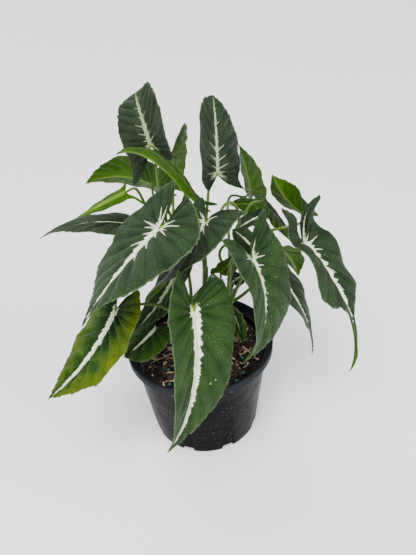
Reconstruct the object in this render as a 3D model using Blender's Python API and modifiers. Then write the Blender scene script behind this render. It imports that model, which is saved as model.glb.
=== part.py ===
"""A tricolour arrowhead plant (syngonium wendlandii) in a black nursery pot.

The pot and its filling stand upright on z = 0 with the photo's viewer on the -Y side. Five short
stems stand in plain holes in the potting mix. Each carries its leaf stalks, and each leaf blade is
a thin arrowhead solid of its own that ends just clear of its stalk.
"""
import math

import bmesh
import bpy
from mathutils import Matrix, Vector, noise

MM = 0.001
FIT_GAP = 0.3 * MM
MERGE = 0.02 * MM

# Pot
RIM_DIAMETER = 130.0 * MM
POT_HEIGHT = 95.0 * MM
BASE_DIAMETER = 95.0 * MM
WALL_TOP_DIAMETER = 119.0 * MM
WALL = 1.5 * MM
FLOOR = 2.2 * MM
RIM_BAND_HEIGHT = 8.5 * MM
DRAIN_NOTCHES = 8
DRAIN_WIDTH = 11.0 * MM
DRAIN_HEIGHT = 7.0 * MM
DRAIN_DEPTH = 9.0 * MM
DRAIN_ROUNDING = 2.4 * MM
LIP = 1.0 * MM
POT_SIDES = 56

# Potting mix
SOIL_LEVEL = 83.0 * MM
SOIL_SIDES = 44
SOIL_RINGS = 11
MIX_FOOT_EASE = 0.2 * MM
MIX_TOP_EASE = 0.5 * MM
CHIP_RELIEF = 2.6 * MM
CHIP_SIZE = 9.0 * MM
CHIP_SHUFFLE = 7.3
CHIP_TILT = 1.7
RELIEF_LAYER = 0.31
STEM_HOLE_DEPTH = 25.0 * MM
HOLE_SIDES = 16

# Stems and stalks
STEM_FOOT_RADIUS = 3.4 * MM
STEM_TOP_RADIUS = 2.5 * MM
STEM_STEPS = 8
STALK_FOOT_RADIUS = 1.5 * MM
STALK_END_RADIUS = 0.85 * MM
STALK_STEPS = 11
STALK_STANDOFF = 1.3 * MM
STALK_INCIDENCE = math.radians(56.6)
STALK_ENDING = (9.0 * MM, 3.0 * MM)
SHEATH_SHARE = 0.30
SHEATH_SWELL = 0.55

# Leaf blades
BLADE_THICKNESS = 0.8 * MM
EDGE = ((0.20, 1.0), (0.52, 0.90), (0.74, 0.56), (0.90, 0.22))
RIB_ROWS = 16
RIB_STEPS = 3
SMALL_LEAF = 50.0 * MM
FAN_SHARE = 0.55
PINCH_REACH = 0.22
SPINE_STEPS = 12
MARGIN_WAVE = (0.8, 2.6)
WAVE_SHIFT = 0.7

# Where each stem leaves the mix (x, y), and its top (x, y, z), in millimetres.
STEMS = {
    "left_back": ((-16, 12), (-22, 24, 150)),
    "left_front": ((-10, -14), (-6, -18, 136)),
    "middle": ((6, 10), (10, 22, 158)),
    "right_front": ((22, -8), (27, -6, 138)),
    "right_back": ((27, 16), (33, 19, 162)),
}

# One entry for each leaf. Lengths are in millimetres, angles in degrees.
# junction: where the stalk meets the blade. aim: heading, pitch and roll of the midrib there.
# length and half_width: junction to tip, and midrib to margin. lobe: length and spread of a rear lobe.
# bend: droop, sideways sweep and twist along the midrib. fold, curl and hang: the left and right
# halves' rise from the midrib, their curl towards the margin, and the rear lobes' bend.
# wave: depth and number of the margin's waves, where they differ from MARGIN_WAVE.
# edge: the margin's places as (share of length, share of half_width), where they differ from EDGE.
# pinch: how many degrees more the left and right halves rise beside the junction.
# stem, root and route: the stem it grows from, the height where it leaves it, points on its way.
LEAVES = {
    "upper_left": dict(
        junction=(-27, 61, 257), aim=(117, 58, -38), length=58, half_width=27,
        lobe=(25, 29), bend=(-56, 16, 23), fold=(-13, 33), curl=(-8, 18), hang=(22, 22),
        edge=((0.20, 1.0), (0.52, 0.90), (0.74, 0.76), (0.90, 0.58)),
        stem="left_back", root=146, route=()),
    "back_left_green": dict(
        junction=(-12, 82, 237), aim=(106, -54, -28), length=52, half_width=22,
        lobe=(35, 14), bend=(-40, -5, 0), fold=(0, 10), curl=(-25, -10), hang=(-15, 0),
        stem="left_back", root=132, route=((-14, 30, 184), (-12, 54, 236))),
    "left_underside": dict(
        junction=(-30, 72, 215), aim=(149, 18, 56), length=63, half_width=26,
        lobe=(20, 18), bend=(-60, 10, 5), fold=(20, 10), curl=(0, -10), hang=(25, 25),
        stem="left_back", root=120, route=()),
    "long_left": dict(
        junction=(-47, 14, 211), aim=(-176, 21, 9), length=76, half_width=22,
        lobe=(20, 14), bend=(-45, -5, 10), fold=(10, 10), curl=(-35, -20), hang=(-10, -10),
        stem="left_back", root=110, route=()),
    "thin_twist": dict(
        junction=(-48, 10, 242), aim=(-131, 7, 131), length=44, half_width=6,
        lobe=(12, 15), bend=(51, 0, 39), fold=(22, 6), curl=(12, -17), hang=(3, -10),
        stem="left_back", root=138, route=((-24, 19, 185), (-36, 15, 238))),
    "big_front_left": dict(
        junction=(-21, -38, 237), aim=(-143, -23, 2), length=90, half_width=47,
        lobe=(36, 22), bend=(-15, 5, 20), fold=(25, -15), curl=(-40, 10), hang=(60, 35),
        stem="left_front", root=132, route=((0, -1, 164), (-20, 16, 243))),
    "yellow_low_left": dict(
        junction=(-61, -50, 174), aim=(-142, -54, 8), length=90, half_width=30,
        lobe=(25, 17), bend=(25, -15, 5), fold=(5, 5), curl=(-20, -10), hang=(-10, -10), wave=(1.4, 3.0),
        stem="left_front", root=118, route=((-6, -40, 147), (-29, -39, 173))),
    "low_left_mid": dict(
        junction=(-14, -8, 175), aim=(-136, -47, 15), length=58, half_width=20,
        lobe=(20, 13), bend=(20, -10, -5), fold=(10, 5), curl=(-10, -15), hang=(-10, -10),
        stem="left_front", root=126, route=()),
    "low_left_rim": dict(
        junction=(-35, -28, 135), aim=(-141, -26, 3), length=37, half_width=21,
        lobe=(8, 12), bend=(-15, -35, -10), fold=(5, 0), curl=(-15, -30), hang=(-5, -25),
        stem="left_front", root=104, route=()),
    "front": dict(
        junction=(0, -78, 190), aim=(-81, -68, -17), length=136, half_width=30,
        lobe=(35, 13), bend=(-37, -22, -19), fold=(11, 40), curl=(-2, -25), hang=(64, 4),
        stem="right_front", root=132, route=((14, -22, 180),)),
    "arch": dict(
        junction=(-1, 19, 232), aim=(148, 56, -4), length=85, half_width=8,
        lobe=(20, 16), bend=(-88, -18, -4), fold=(89, 55), curl=(1, -20), hang=(-7, -5),
        stem="middle", root=152, route=()),
    "upper_mid": dict(
        junction=(26, 48, 233), aim=(84, 60, 55), length=69, half_width=31,
        lobe=(18, 26), bend=(-18, -17, -4), fold=(-7, 11), curl=(44, -23), hang=(36, 65),
        edge=((0.20, 1.0), (0.52, 0.90), (0.74, 0.66), (0.90, 0.40)),
        stem="middle", root=156, route=()),
    "inner_bright": dict(
        junction=(22, 2, 166), aim=(-17, 47, -42), length=24, half_width=12,
        lobe=(4, 7), bend=(10, -15, 0), fold=(0, 10), curl=(-35, -15), hang=(-10, -10),
        stem="middle", root=130, route=()),
    "centre": dict(
        junction=(13, -24, 231), aim=(-134, -44, 22), length=78, half_width=37,
        lobe=(19, 30), bend=(15, -20, 45), fold=(15, 5), curl=(-30, -15), hang=(-60, -25),
        stem="right_back", root=158, route=((44, 6, 222), (30, -4, 240))),
    "centre_right": dict(
        junction=(45, -49, 212), aim=(-34, -60, -11), length=99, half_width=32,
        lobe=(29, 28), bend=(-65, -15, 0), fold=(30, 20), curl=(-20, -25), hang=(20, -10),
        stem="right_front", root=136, route=((29, -26, 200),)),
    "far_right": dict(
        junction=(91, -9, 191), aim=(-48, -25, -18), length=125, half_width=24,
        lobe=(44, 31), bend=(-73, 33, -12), fold=(41, 39), curl=(-52, -102), hang=(52, 91), wave=(2.8, 2.7),
        edge=((0.33, 1.0), (0.45, 0.66), (0.58, 0.28), (0.80, 0.26)), pinch=(21, 32),
        stem="right_front", root=128, route=((39, -10, 171), (59, -13, 203))),
    "small_mid_b": dict(
        junction=(46, -14, 202), aim=(141, 39, -15), length=20, half_width=9,
        lobe=(8, 6), bend=(-40, -5, 0), fold=(15, 15), curl=(-10, -5), hang=(-10, -10),
        stem="right_front", root=134, route=()),
    "soil_small": dict(
        junction=(30, -22, 141), aim=(-73, -6, -25), length=31, half_width=9,
        lobe=(9, 6), bend=(-30, 0, 5), fold=(5, 10), curl=(-25, -15), hang=(-5, -10),
        stem="right_front", root=112, route=()),
    "peek_small": dict(
        junction=(35, 5, 155), aim=(43, 0, 10), length=17, half_width=8,
        lobe=(6, 5), bend=(-40, 5, 0), fold=(5, 5), curl=(-15, -20), hang=(-10, -10),
        stem="right_front", root=120, route=()),
    "upper_right_curl": dict(
        junction=(96, 38, 196), aim=(155, 28, 47), length=42, half_width=21,
        lobe=(12, 14), bend=(34, 20, 36), fold=(14, 10), curl=(-15, -6), hang=(-10, -10),
        stem="right_back", root=150, route=((13, 66, 153), (81, -2, 208))),
    "centre_back_green": dict(
        junction=(60, 62, 192), aim=(156, 11, 53), length=26, half_width=14,
        lobe=(10, 10), bend=(-35, -10, 0), fold=(7, -2), curl=(-20, -40), hang=(-10, -10),
        stem="right_back", root=140, route=((32, 30, 163), (44, 45, 191))),
    "small_mid_a": dict(
        junction=(56, 25, 202), aim=(-158, -9, -3), length=23, half_width=9,
        lobe=(9, 6), bend=(-20, -5, 0), fold=(10, 10), curl=(-10, -10), hang=(-10, -10),
        stem="right_back", root=160, route=()),
    "right_underside": dict(
        junction=(78, 32, 163), aim=(44, -46, -15), length=41, half_width=14,
        lobe=(10, 9), bend=(-40, -5, 0), fold=(15, 15), curl=(-5, -5), hang=(-10, -10),
        stem="right_back", root=128, route=((46, 28, 140), (62, 30, 156))),
    "right_narrow_dark": dict(
        junction=(65, 37, 211), aim=(-6, -58, -16), length=52, half_width=18,
        lobe=(12, 10), bend=(-10, 0, -15), fold=(-15, 5), curl=(-20, -25), hang=(-10, -10),
        stem="right_back", root=156, route=((36, 24, 177), (49, 36, 208))),
    "right_tail": dict(
        junction=(62, 4, 171), aim=(-24, -47, 1), length=119, half_width=18,
        lobe=(20, 13), bend=(-48, 17, -13), fold=(14, 12), curl=(-12, -6), hang=(-10, -10), wave=(1.6, 3.2),
        edge=((0.24, 1.0), (0.50, 0.86), (0.70, 0.30), (0.84, 0.17)),
        stem="right_back", root=120, route=((55, 8, 145), (48, 1, 173))),
    "right_back_green": dict(
        junction=(57, 82, 195), aim=(119, 73, 76), length=46, half_width=21,
        lobe=(15, 13), bend=(-10, 5, 0), fold=(25, 10), curl=(-10, -20), hang=(-10, -10),
        stem="right_back", root=134, route=((33, 38, 178), (32, 67, 207))),
}


def clear_scene():
    for item in list(bpy.data.objects):
        bpy.data.objects.remove(item, do_unlink=True)


def new_collection(name):
    group = bpy.data.collections.new(name)
    bpy.context.scene.collection.children.link(group)
    return group


def make_material(name, colour, roughness, sheen=0.0):
    material = bpy.data.materials.new(name)
    material.use_nodes = True
    shader = material.node_tree.nodes["Principled BSDF"]
    shader.inputs["Base Color"].default_value = (*colour, 1.0)
    shader.inputs["Roughness"].default_value = roughness
    shader.inputs["Sheen Weight"].default_value = sheen
    material.diffuse_color = (*colour, 1.0)
    return material


def set_material(item, material, smooth=True):
    item.data.materials.clear()
    item.data.materials.append(material)
    item.data.polygons.foreach_set("use_smooth", [smooth] * len(item.data.polygons))


def add_object(name, mesh, group, material):
    item = bpy.data.objects.new(name, mesh)
    group.objects.link(item)
    set_material(item, material)
    return item


def solid_mesh(item, name):
    """The object's mesh with its modifiers applied and doubled points merged."""
    graph = bpy.context.evaluated_depsgraph_get()
    mesh = bpy.data.meshes.new_from_object(item.evaluated_get(graph))
    mesh.name = name
    work = bmesh.new()
    work.from_mesh(mesh)
    bmesh.ops.remove_doubles(work, verts=work.verts, dist=MERGE)
    bmesh.ops.recalc_face_normals(work, faces=work.faces)
    work.to_mesh(mesh)
    work.free()
    return mesh


def revolve(name, outline, sides, group, material):
    """Turn a line of (radius, height) points that starts and ends on the axis about Z."""
    work = bmesh.new()
    points = [work.verts.new((radius, 0.0, height)) for radius, height in outline]
    for start, end in zip(points[:-1], points[1:]):
        work.edges.new((start, end))
    mesh = bpy.data.meshes.new(name)
    work.to_mesh(mesh)
    work.free()
    item = add_object(name, mesh, group, material)
    screw = item.modifiers.new("Turn", "SCREW")
    screw.steps = sides
    screw.render_steps = sides
    screw.use_merge_vertices = True
    screw.merge_threshold = MERGE
    item.data = solid_mesh(item, name)
    item.modifiers.clear()
    set_material(item, material)
    return item


def apply_boolean(item, other, operation):
    """Change an object by another object, or by all of a collection, with the exact solver."""
    change = item.modifiers.new("Change", "BOOLEAN")
    change.operation = operation
    change.solver = "EXACT"
    if isinstance(other, bpy.types.Collection):
        change.operand_type = "COLLECTION"
        change.collection = other
    else:
        change.object = other
    item.data = solid_mesh(item, item.name)
    item.modifiers.clear()


def drop_objects(items):
    for item in list(items):
        bpy.data.objects.remove(item, do_unlink=True)


def add_cutter(name, cutters):
    """Take the primitive that was just added into the cutters, shown as a wire and never rendered."""
    cutter = bpy.context.object
    cutter.name = name
    for holder in list(cutter.users_collection):
        holder.objects.unlink(cutter)
    cutters.objects.link(cutter)
    cutter.hide_render = True
    cutter.display_type = "WIRE"
    return cutter


def wall_radius(height):
    """Outer radius of the tapered wall at a height."""
    share = height / (POT_HEIGHT - RIM_BAND_HEIGHT)
    return 0.5 * (BASE_DIAMETER + (WALL_TOP_DIAMETER - BASE_DIAMETER) * share)


def build_pot(group, cutters, plastic):
    rim = 0.5 * RIM_DIAMETER
    band = POT_HEIGHT - RIM_BAND_HEIGHT
    outline = [
        (0.0, FLOOR),
        (wall_radius(FLOOR) - WALL, FLOOR),
        (wall_radius(band) - WALL, band + LIP),
        (rim - 2.2 * LIP, band + 2.0 * LIP),
        (rim - 1.9 * LIP, POT_HEIGHT - 0.4 * LIP),
        (rim - 1.3 * LIP, POT_HEIGHT),
        (rim - 0.5 * LIP, POT_HEIGHT - 0.2 * LIP),
        (rim, POT_HEIGHT - LIP),
        (rim - 0.4 * LIP, band + 0.5 * LIP),
        (rim - 0.9 * LIP, band),
        (wall_radius(band), band - LIP),
        (wall_radius(2.0 * LIP), 2.0 * LIP),
        (wall_radius(0.0) - 1.5 * LIP, 0.0),
        (0.0, 0.0),
    ]
    pot = revolve("pot", outline, POT_SIDES, group, plastic)
    reach = wall_radius(0.0)
    for index in range(DRAIN_NOTCHES):
        angle = math.tau * (index + 0.5) / DRAIN_NOTCHES
        bpy.ops.mesh.primitive_cube_add(size=1.0)
        cutter = add_cutter("drain_cutter_%d" % index, cutters)
        cutter.data.transform(Matrix.Diagonal((2.0 * DRAIN_DEPTH, DRAIN_WIDTH, 2.0 * DRAIN_HEIGHT, 1.0)))
        bevel = cutter.modifiers.new("Round", "BEVEL")
        bevel.width = DRAIN_ROUNDING
        bevel.segments = 2
        cutter.location = (reach * math.cos(angle), reach * math.sin(angle), 0.0)
        cutter.rotation_euler = (0.0, 0.0, angle)
        bpy.context.view_layer.update()
        apply_boolean(pot, cutter, "DIFFERENCE")
    set_material(pot, plastic)


def mix_relief(x, y):
    """Height of the bark chips above the level of the mix at a place."""
    spot = Vector((x, y, RELIEF_LAYER)) / CHIP_SIZE
    nearest = noise.voronoi(spot)[1][0]
    chip = noise.cell(nearest * CHIP_SHUFFLE)
    tilt = noise.noise(spot * CHIP_TILT)
    return CHIP_RELIEF * (0.55 * chip + 0.45 * tilt)


def build_mix(group, cutters, bark):
    foot = FLOOR + FIT_GAP
    inner_foot = wall_radius(foot) - WALL - FIT_GAP - MIX_FOOT_EASE
    inner_top = wall_radius(SOIL_LEVEL) - WALL - FIT_GAP - MIX_TOP_EASE
    work = bmesh.new()
    centre = work.verts.new((0.0, 0.0, SOIL_LEVEL + mix_relief(0.0, 0.0)))
    rings = []
    for ring in range(1, SOIL_RINGS + 1):
        radius = inner_top * ring / SOIL_RINGS
        row = []
        for side in range(SOIL_SIDES):
            angle = math.tau * (side + 0.5 * (ring % 2)) / SOIL_SIDES
            x = radius * math.cos(angle)
            y = radius * math.sin(angle)
            row.append(work.verts.new((x, y, SOIL_LEVEL + mix_relief(x, y))))
        rings.append(row)
    taper = inner_foot / inner_top
    rings.append([work.verts.new((edge.co.x * taper, edge.co.y * taper, foot)) for edge in rings[-1]])
    base = work.verts.new((0.0, 0.0, foot))
    for side in range(SOIL_SIDES):
        after = (side + 1) % SOIL_SIDES
        work.faces.new((centre, rings[0][side], rings[0][after]))
        work.faces.new((base, rings[-1][after], rings[-1][side]))
        for inner, outer in zip(rings[:-1], rings[1:]):
            work.faces.new((inner[side], outer[side], outer[after]))
            work.faces.new((inner[side], outer[after], inner[after]))
    bmesh.ops.recalc_face_normals(work, faces=work.faces)
    mesh = bpy.data.meshes.new("potting_mix")
    work.to_mesh(mesh)
    work.free()
    mix = add_object("potting_mix", mesh, group, bark)
    for stem, (mouth, top) in STEMS.items():
        bpy.ops.mesh.primitive_cylinder_add(
            vertices=HOLE_SIDES, radius=STEM_FOOT_RADIUS + 2.0 * FIT_GAP, depth=2.0 * STEM_HOLE_DEPTH,
            location=(mouth[0] * MM, mouth[1] * MM, SOIL_LEVEL))
        cutter = add_cutter("hole_cutter_" + stem, cutters)
        bpy.context.view_layer.update()
        apply_boolean(mix, cutter, "DIFFERENCE")
    set_material(mix, bark, smooth=False)


def smooth_route(controls, count):
    """Points on a uniform cubic B-spline that starts and ends on its end controls."""
    line = [controls[0]] * 2 + list(controls) + [controls[-1]] * 2
    spans = len(line) - 3
    points = []
    for step in range(count):
        place = min(spans * step / (count - 1), spans - 1e-9)
        index = int(place)
        t = place - index
        a, b, c, d = line[index:index + 4]
        points.append((a * (1 - t) ** 3 + b * (3 * t ** 3 - 6 * t ** 2 + 4)
                       + c * (-3 * t ** 3 + 3 * t ** 2 + 3 * t + 1) + d * t ** 3) / 6.0)
    return points


def leaf_frame(plan):
    """Axes at the junction: forward along the midrib, left across the blade, up from its face."""
    heading, pitch, roll = (math.radians(angle) for angle in plan["aim"])
    turn = Matrix.Rotation(heading, 3, "Z")
    tip_up = Matrix.Rotation(-pitch, 3, "Y")
    roll_over = Matrix.Rotation(roll, 3, "X")
    return turn @ tip_up @ roll_over


def half_outline(plan, rows):
    """Margin of one half, from the junction around the rear lobe to the tip, as (along, across)."""
    length = plan["length"] * MM
    wide = plan["half_width"] * MM
    back, spread = (value * MM for value in plan["lobe"])
    corners = [
        (0.0, 0.0),
        (-0.50 * back, 0.30 * spread),
        (-0.90 * back, 0.68 * spread),
        (-back, spread),
        (-0.66 * back, 0.40 * spread + 0.58 * wide),
        (-0.05 * back, 0.98 * wide),
    ]
    corners += [(share * length, reach * wide) for share, reach in plan.get("edge", EDGE)]
    corners.append((length, 0.0))
    points = [Vector(corner) for corner in corners]
    points = [2.0 * points[0] - points[1]] + points + [2.0 * points[-1] - points[-2]]
    spans = len(corners) - 1
    line = []
    for row in range(rows + 1):
        place = min(spans * row / rows, spans - 1e-9)
        index = int(place)
        t = place - index
        a, b, c, d = points[index:index + 4]
        line.append(0.5 * (2.0 * b + (c - a) * t + (2.0 * a - 5.0 * b + 4.0 * c - d) * t ** 2
                           + (3.0 * b - a - 3.0 * c + d) * t ** 3))
    return line


def blade_point(plan, along, across, side):
    """A point of the bent blade; side is 1 for its left half and -1 for its right."""
    length = plan["length"] * MM
    droop, sweep, twist = plan["bend"]
    hang = plan["hang"][0] if side > 0 else plan["hang"][1]
    back = plan["lobe"][0] * MM

    def direction(place):
        if place > 0.0:
            pitch = math.radians(droop * place / length)
            yaw = math.radians(sweep * place / length)
        else:
            pitch = -math.radians(hang * min(-place / back, 1.3))
            yaw = 0.0
        level = math.cos(pitch)
        return Vector((math.cos(yaw) * level, math.sin(yaw) * level, math.sin(pitch))), yaw

    spot = Vector((0.0, 0.0, 0.0))
    for step in range(SPINE_STEPS):
        spot += direction(along * (step + 0.5) / SPINE_STEPS)[0] * along / SPINE_STEPS
    forward, yaw = direction(along)
    left = Vector((-math.sin(yaw), math.cos(yaw), 0.0))
    up = forward.cross(left)
    turn = math.radians(twist * min(max(along / length, 0.0), 1.0))
    left, up = left * math.cos(turn) + up * math.sin(turn), up * math.cos(turn) - left * math.sin(turn)
    fold = plan["fold"][0] if side > 0 else plan["fold"][1]
    curl = plan["curl"][0] if side > 0 else plan["curl"][1]
    pinch = plan.get("pinch", (0, 0))[0 if side > 0 else 1]
    depth, count = plan.get("wave", MARGIN_WAVE)
    reach = across / (plan["half_width"] * MM)
    past = max(along, 0.0) / (PINCH_REACH * length)
    rise = math.radians(fold + 0.5 * curl * reach + pinch * math.exp(-past ** 2))
    ripple = depth * MM * reach ** 2 * math.sin(math.tau * count * along / length + WAVE_SHIFT * side)
    spot += left * side * across * math.cos(rise) + up * (across * math.sin(rise) + ripple)
    return Vector(plan["junction"]) * MM + leaf_frame(plan) @ spot


def blade_surface(plan, rows, steps):
    """The open blade as one triangulated sheet, with rows that run as the side veins do."""
    outline = half_outline(plan, rows)
    length = plan["length"] * MM
    fan = round(rows * FAN_SHARE)
    starts = [length * max(0.0, (row - fan) / (rows - fan)) ** 1.15 for row in range(rows + 1)]
    work = bmesh.new()
    spine = {}
    for row, start in enumerate(starts):
        if start > 0.0 or row == 0:
            spine[row] = work.verts.new(blade_point(plan, start, 0.0, 1))
        else:
            spine[row] = spine[0]
    for side in (1, -1):
        lines = []
        for row in range(1, rows):
            edge = outline[row]
            line = [spine[row]]
            for step in range(1, steps + 1):
                share = step / steps
                along = starts[row] + (edge[0] - starts[row]) * share
                line.append(work.verts.new(blade_point(plan, along, edge[1] * share, side)))
            lines.append(line)
        lines.append([spine[rows]] * (steps + 1))
        for near, far in zip(lines[:-1], lines[1:]):
            for step in range(steps):
                quad = [near[step], far[step], far[step + 1], near[step + 1]]
                for corners in ((quad[0], quad[1], quad[2]), (quad[0], quad[2], quad[3])):
                    if len(set(corners)) == 3:
                        work.faces.new(corners if side > 0 else corners[::-1])
    return work


def build_leaf(name, plan, group, material):
    small = plan["length"] * MM < SMALL_LEAF
    rows = RIB_ROWS - 3 if small else RIB_ROWS
    steps = RIB_STEPS - 1 if small else RIB_STEPS
    work = blade_surface(plan, rows, steps)
    mesh = bpy.data.meshes.new("leaf_" + name)
    work.to_mesh(mesh)
    work.free()
    leaf = add_object("leaf_" + name, mesh, group, material)
    thick = leaf.modifiers.new("Thickness", "SOLIDIFY")
    thick.thickness = BLADE_THICKNESS
    thick.offset = 0.0
    leaf.data = solid_mesh(leaf, leaf.name)
    leaf.modifiers.clear()
    set_material(leaf, material)


def stem_line(stem):
    """Points up a stem, from the foot of its hole to its leaning top."""
    (foot_x, foot_y), top = STEMS[stem]
    top = Vector(top) * MM
    mouth = Vector((foot_x * MM, foot_y * MM, SOIL_LEVEL))
    line = [mouth - Vector((0.0, 0.0, STEM_HOLE_DEPTH - FIT_GAP)), mouth]
    for step in range(1, STEM_STEPS - 1):
        share = step / (STEM_STEPS - 2)
        lean = share ** 1.6
        line.append(Vector((mouth.x + (top.x - mouth.x) * lean, mouth.y + (top.y - mouth.y) * lean,
                            mouth.z + (top.z - mouth.z) * share)))
    return line


def stem_point(stem, height):
    line = stem_line(stem)
    for low, high in zip(line[:-1], line[1:]):
        if high.z >= height:
            return low.lerp(high, (height - low.z) / (high.z - low.z))
    return line[-1]


def stalk_line(plan):
    """Points along a leaf stalk, from inside its stem to just under the blade."""
    root = stem_point(plan["stem"], plan["root"] * MM)
    frame = leaf_frame(plan)
    end = Vector(plan["junction"]) * MM - frame.col[2] * STALK_STANDOFF
    inward = frame @ Vector((math.cos(STALK_INCIDENCE), 0.0, math.sin(STALK_INCIDENCE)))
    way = end - root
    if plan["route"]:
        middle = [Vector(point) * MM for point in plan["route"]]
    else:
        level = math.hypot(way.x, way.y)
        middle = [root + Vector((0.12 * way.x, 0.12 * way.y, 0.45 * way.z)),
                  root + Vector((0.55 * way.x, 0.55 * way.y, 0.90 * way.z + 0.10 * level))]
    controls = [root] + middle + [end - inward * back for back in STALK_ENDING] + [end]
    return smooth_route(controls, STALK_STEPS)


def tube(name, line, radii, group, material):
    """A round solid along a line, with a radius at each point."""
    curve = bpy.data.curves.new(name, "CURVE")
    curve.dimensions = "3D"
    curve.bevel_depth = 1.0
    curve.bevel_resolution = 2
    curve.use_fill_caps = True
    spline = curve.splines.new("POLY")
    spline.points.add(len(line) - 1)
    for point, place, radius in zip(spline.points, line, radii):
        point.co = (*place, 1.0)
        point.radius = radius
    item = bpy.data.objects.new(name, curve)
    group.objects.link(item)
    mesh = solid_mesh(item, name)
    bpy.data.objects.remove(item, do_unlink=True)
    return add_object(name, mesh, group, material)


def build_plantlet(stem, group, scratch, green):
    line = stem_line(stem)
    radii = [STEM_FOOT_RADIUS + (STEM_TOP_RADIUS - STEM_FOOT_RADIUS) * index / (len(line) - 1)
             for index in range(len(line))]
    plantlet = tube("plantlet_" + stem, line, radii, group, green)
    for name, plan in LEAVES.items():
        if plan["stem"] != stem:
            continue
        line = stalk_line(plan)
        radii = []
        for index in range(len(line)):
            share = index / (len(line) - 1)
            sheath = SHEATH_SWELL * max(0.0, 1.0 - share / SHEATH_SHARE)
            radii.append(STALK_FOOT_RADIUS * (1.0 + sheath) * (1.0 - share) + STALK_END_RADIUS * share)
        tube("stalk_" + name, line, radii, scratch, green)
    apply_boolean(plantlet, scratch, "UNION")
    drop_objects(scratch.objects)
    set_material(plantlet, green)


def build():
    clear_scene()
    group = new_collection("syngonium_wendlandii_in_pot")
    cutters = new_collection("cutters")
    scratch = new_collection("stalks_to_join")
    plastic = make_material("black_pot_plastic", (0.018, 0.022, 0.026), 0.42)
    bark = make_material("bark_mix", (0.045, 0.026, 0.016), 0.95)
    green = make_material("stalk_green", (0.12, 0.24, 0.03), 0.5)
    blade = make_material("leaf_velvet_green", (0.035, 0.075, 0.030), 0.6, 0.3)
    build_pot(group, cutters, plastic)
    build_mix(group, cutters, bark)
    drop_objects(cutters.objects)
    for stem in STEMS:
        build_plantlet(stem, group, scratch, green)
    for name, plan in LEAVES.items():
        build_leaf(name, plan, group, blade)


build()
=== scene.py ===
import math
import random

import bmesh
import bpy
from mathutils import Matrix, Vector, noise


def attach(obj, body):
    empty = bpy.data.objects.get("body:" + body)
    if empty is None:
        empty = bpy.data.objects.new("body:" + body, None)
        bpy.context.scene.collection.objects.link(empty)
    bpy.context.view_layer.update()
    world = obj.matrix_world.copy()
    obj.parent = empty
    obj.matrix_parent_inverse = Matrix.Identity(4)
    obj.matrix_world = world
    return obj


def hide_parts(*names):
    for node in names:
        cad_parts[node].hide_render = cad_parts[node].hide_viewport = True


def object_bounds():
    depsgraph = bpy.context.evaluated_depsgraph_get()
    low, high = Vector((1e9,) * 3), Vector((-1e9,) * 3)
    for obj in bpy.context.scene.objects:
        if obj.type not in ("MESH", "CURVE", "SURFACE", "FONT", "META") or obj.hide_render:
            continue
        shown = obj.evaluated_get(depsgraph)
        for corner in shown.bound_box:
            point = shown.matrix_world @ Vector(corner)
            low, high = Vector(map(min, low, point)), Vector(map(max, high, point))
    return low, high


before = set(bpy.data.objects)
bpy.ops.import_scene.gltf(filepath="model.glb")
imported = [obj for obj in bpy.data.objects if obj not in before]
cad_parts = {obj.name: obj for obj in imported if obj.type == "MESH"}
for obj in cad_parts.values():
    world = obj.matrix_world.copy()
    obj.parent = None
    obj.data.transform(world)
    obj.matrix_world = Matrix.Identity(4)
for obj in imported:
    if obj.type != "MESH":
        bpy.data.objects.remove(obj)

cad_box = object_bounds()
MM = 0.001

# The pot
# A thin injection-moulded nursery pot with a rolled rim band, a tapered wall and drain notches round
# its foot. The black plastic is semi-gloss, with handling scratches, dust and a rim band painted a paler
# blue-grey.
RIM_DIAMETER = 130.0 * MM
POT_HEIGHT = 95.0 * MM
BASE_DIAMETER = 95.0 * MM
WALL_TOP_DIAMETER = 119.0 * MM
WALL = 1.5 * MM
FLOOR = 2.2 * MM
LIP = 1.0 * MM
BAND_HEIGHT = 8.5 * MM
BAND_FOOT = POT_HEIGHT - BAND_HEIGHT
DRAIN_NOTCHES = 8
DRAIN_SIZE = Vector((18.0, 11.0, 14.0)) * MM
DRAIN_ROUNDING = 2.4 * MM
POT_SIDES = 160
SHARP_CORNER = math.radians(35.0)
POT_BLACK = (0.0008, 0.0009, 0.0010)
RIM_GREY = (0.0155, 0.0190, 0.0235)
DUST_GREY = (0.0075, 0.0080, 0.0082)
SCRATCH_GREY = (0.030, 0.032, 0.033)
FLECK_WHITE = (0.36, 0.36, 0.34)


def wall_radius(height):
    """Outer radius of the tapered wall at a height."""
    return 0.5 * (BASE_DIAMETER + (WALL_TOP_DIAMETER - BASE_DIAMETER) * (height / BAND_FOOT))


def settled_mesh(item):
    """The mesh that an object has once its modifiers are applied."""
    graph = bpy.context.evaluated_depsgraph_get()
    return bpy.data.meshes.new_from_object(item.evaluated_get(graph))


def smooth_object(name, work, finishes):
    """Turn a worked shape into an object of the scene, with its finishes and smooth faces."""
    mesh = bpy.data.meshes.new(name)
    work.to_mesh(mesh)
    work.free()
    item = bpy.data.objects.new(name, mesh)
    bpy.context.scene.collection.objects.link(item)
    for finish in finishes:
        mesh.materials.append(finish)
    mesh.polygons.foreach_set("use_smooth", [True] * len(mesh.polygons))
    return item


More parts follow.
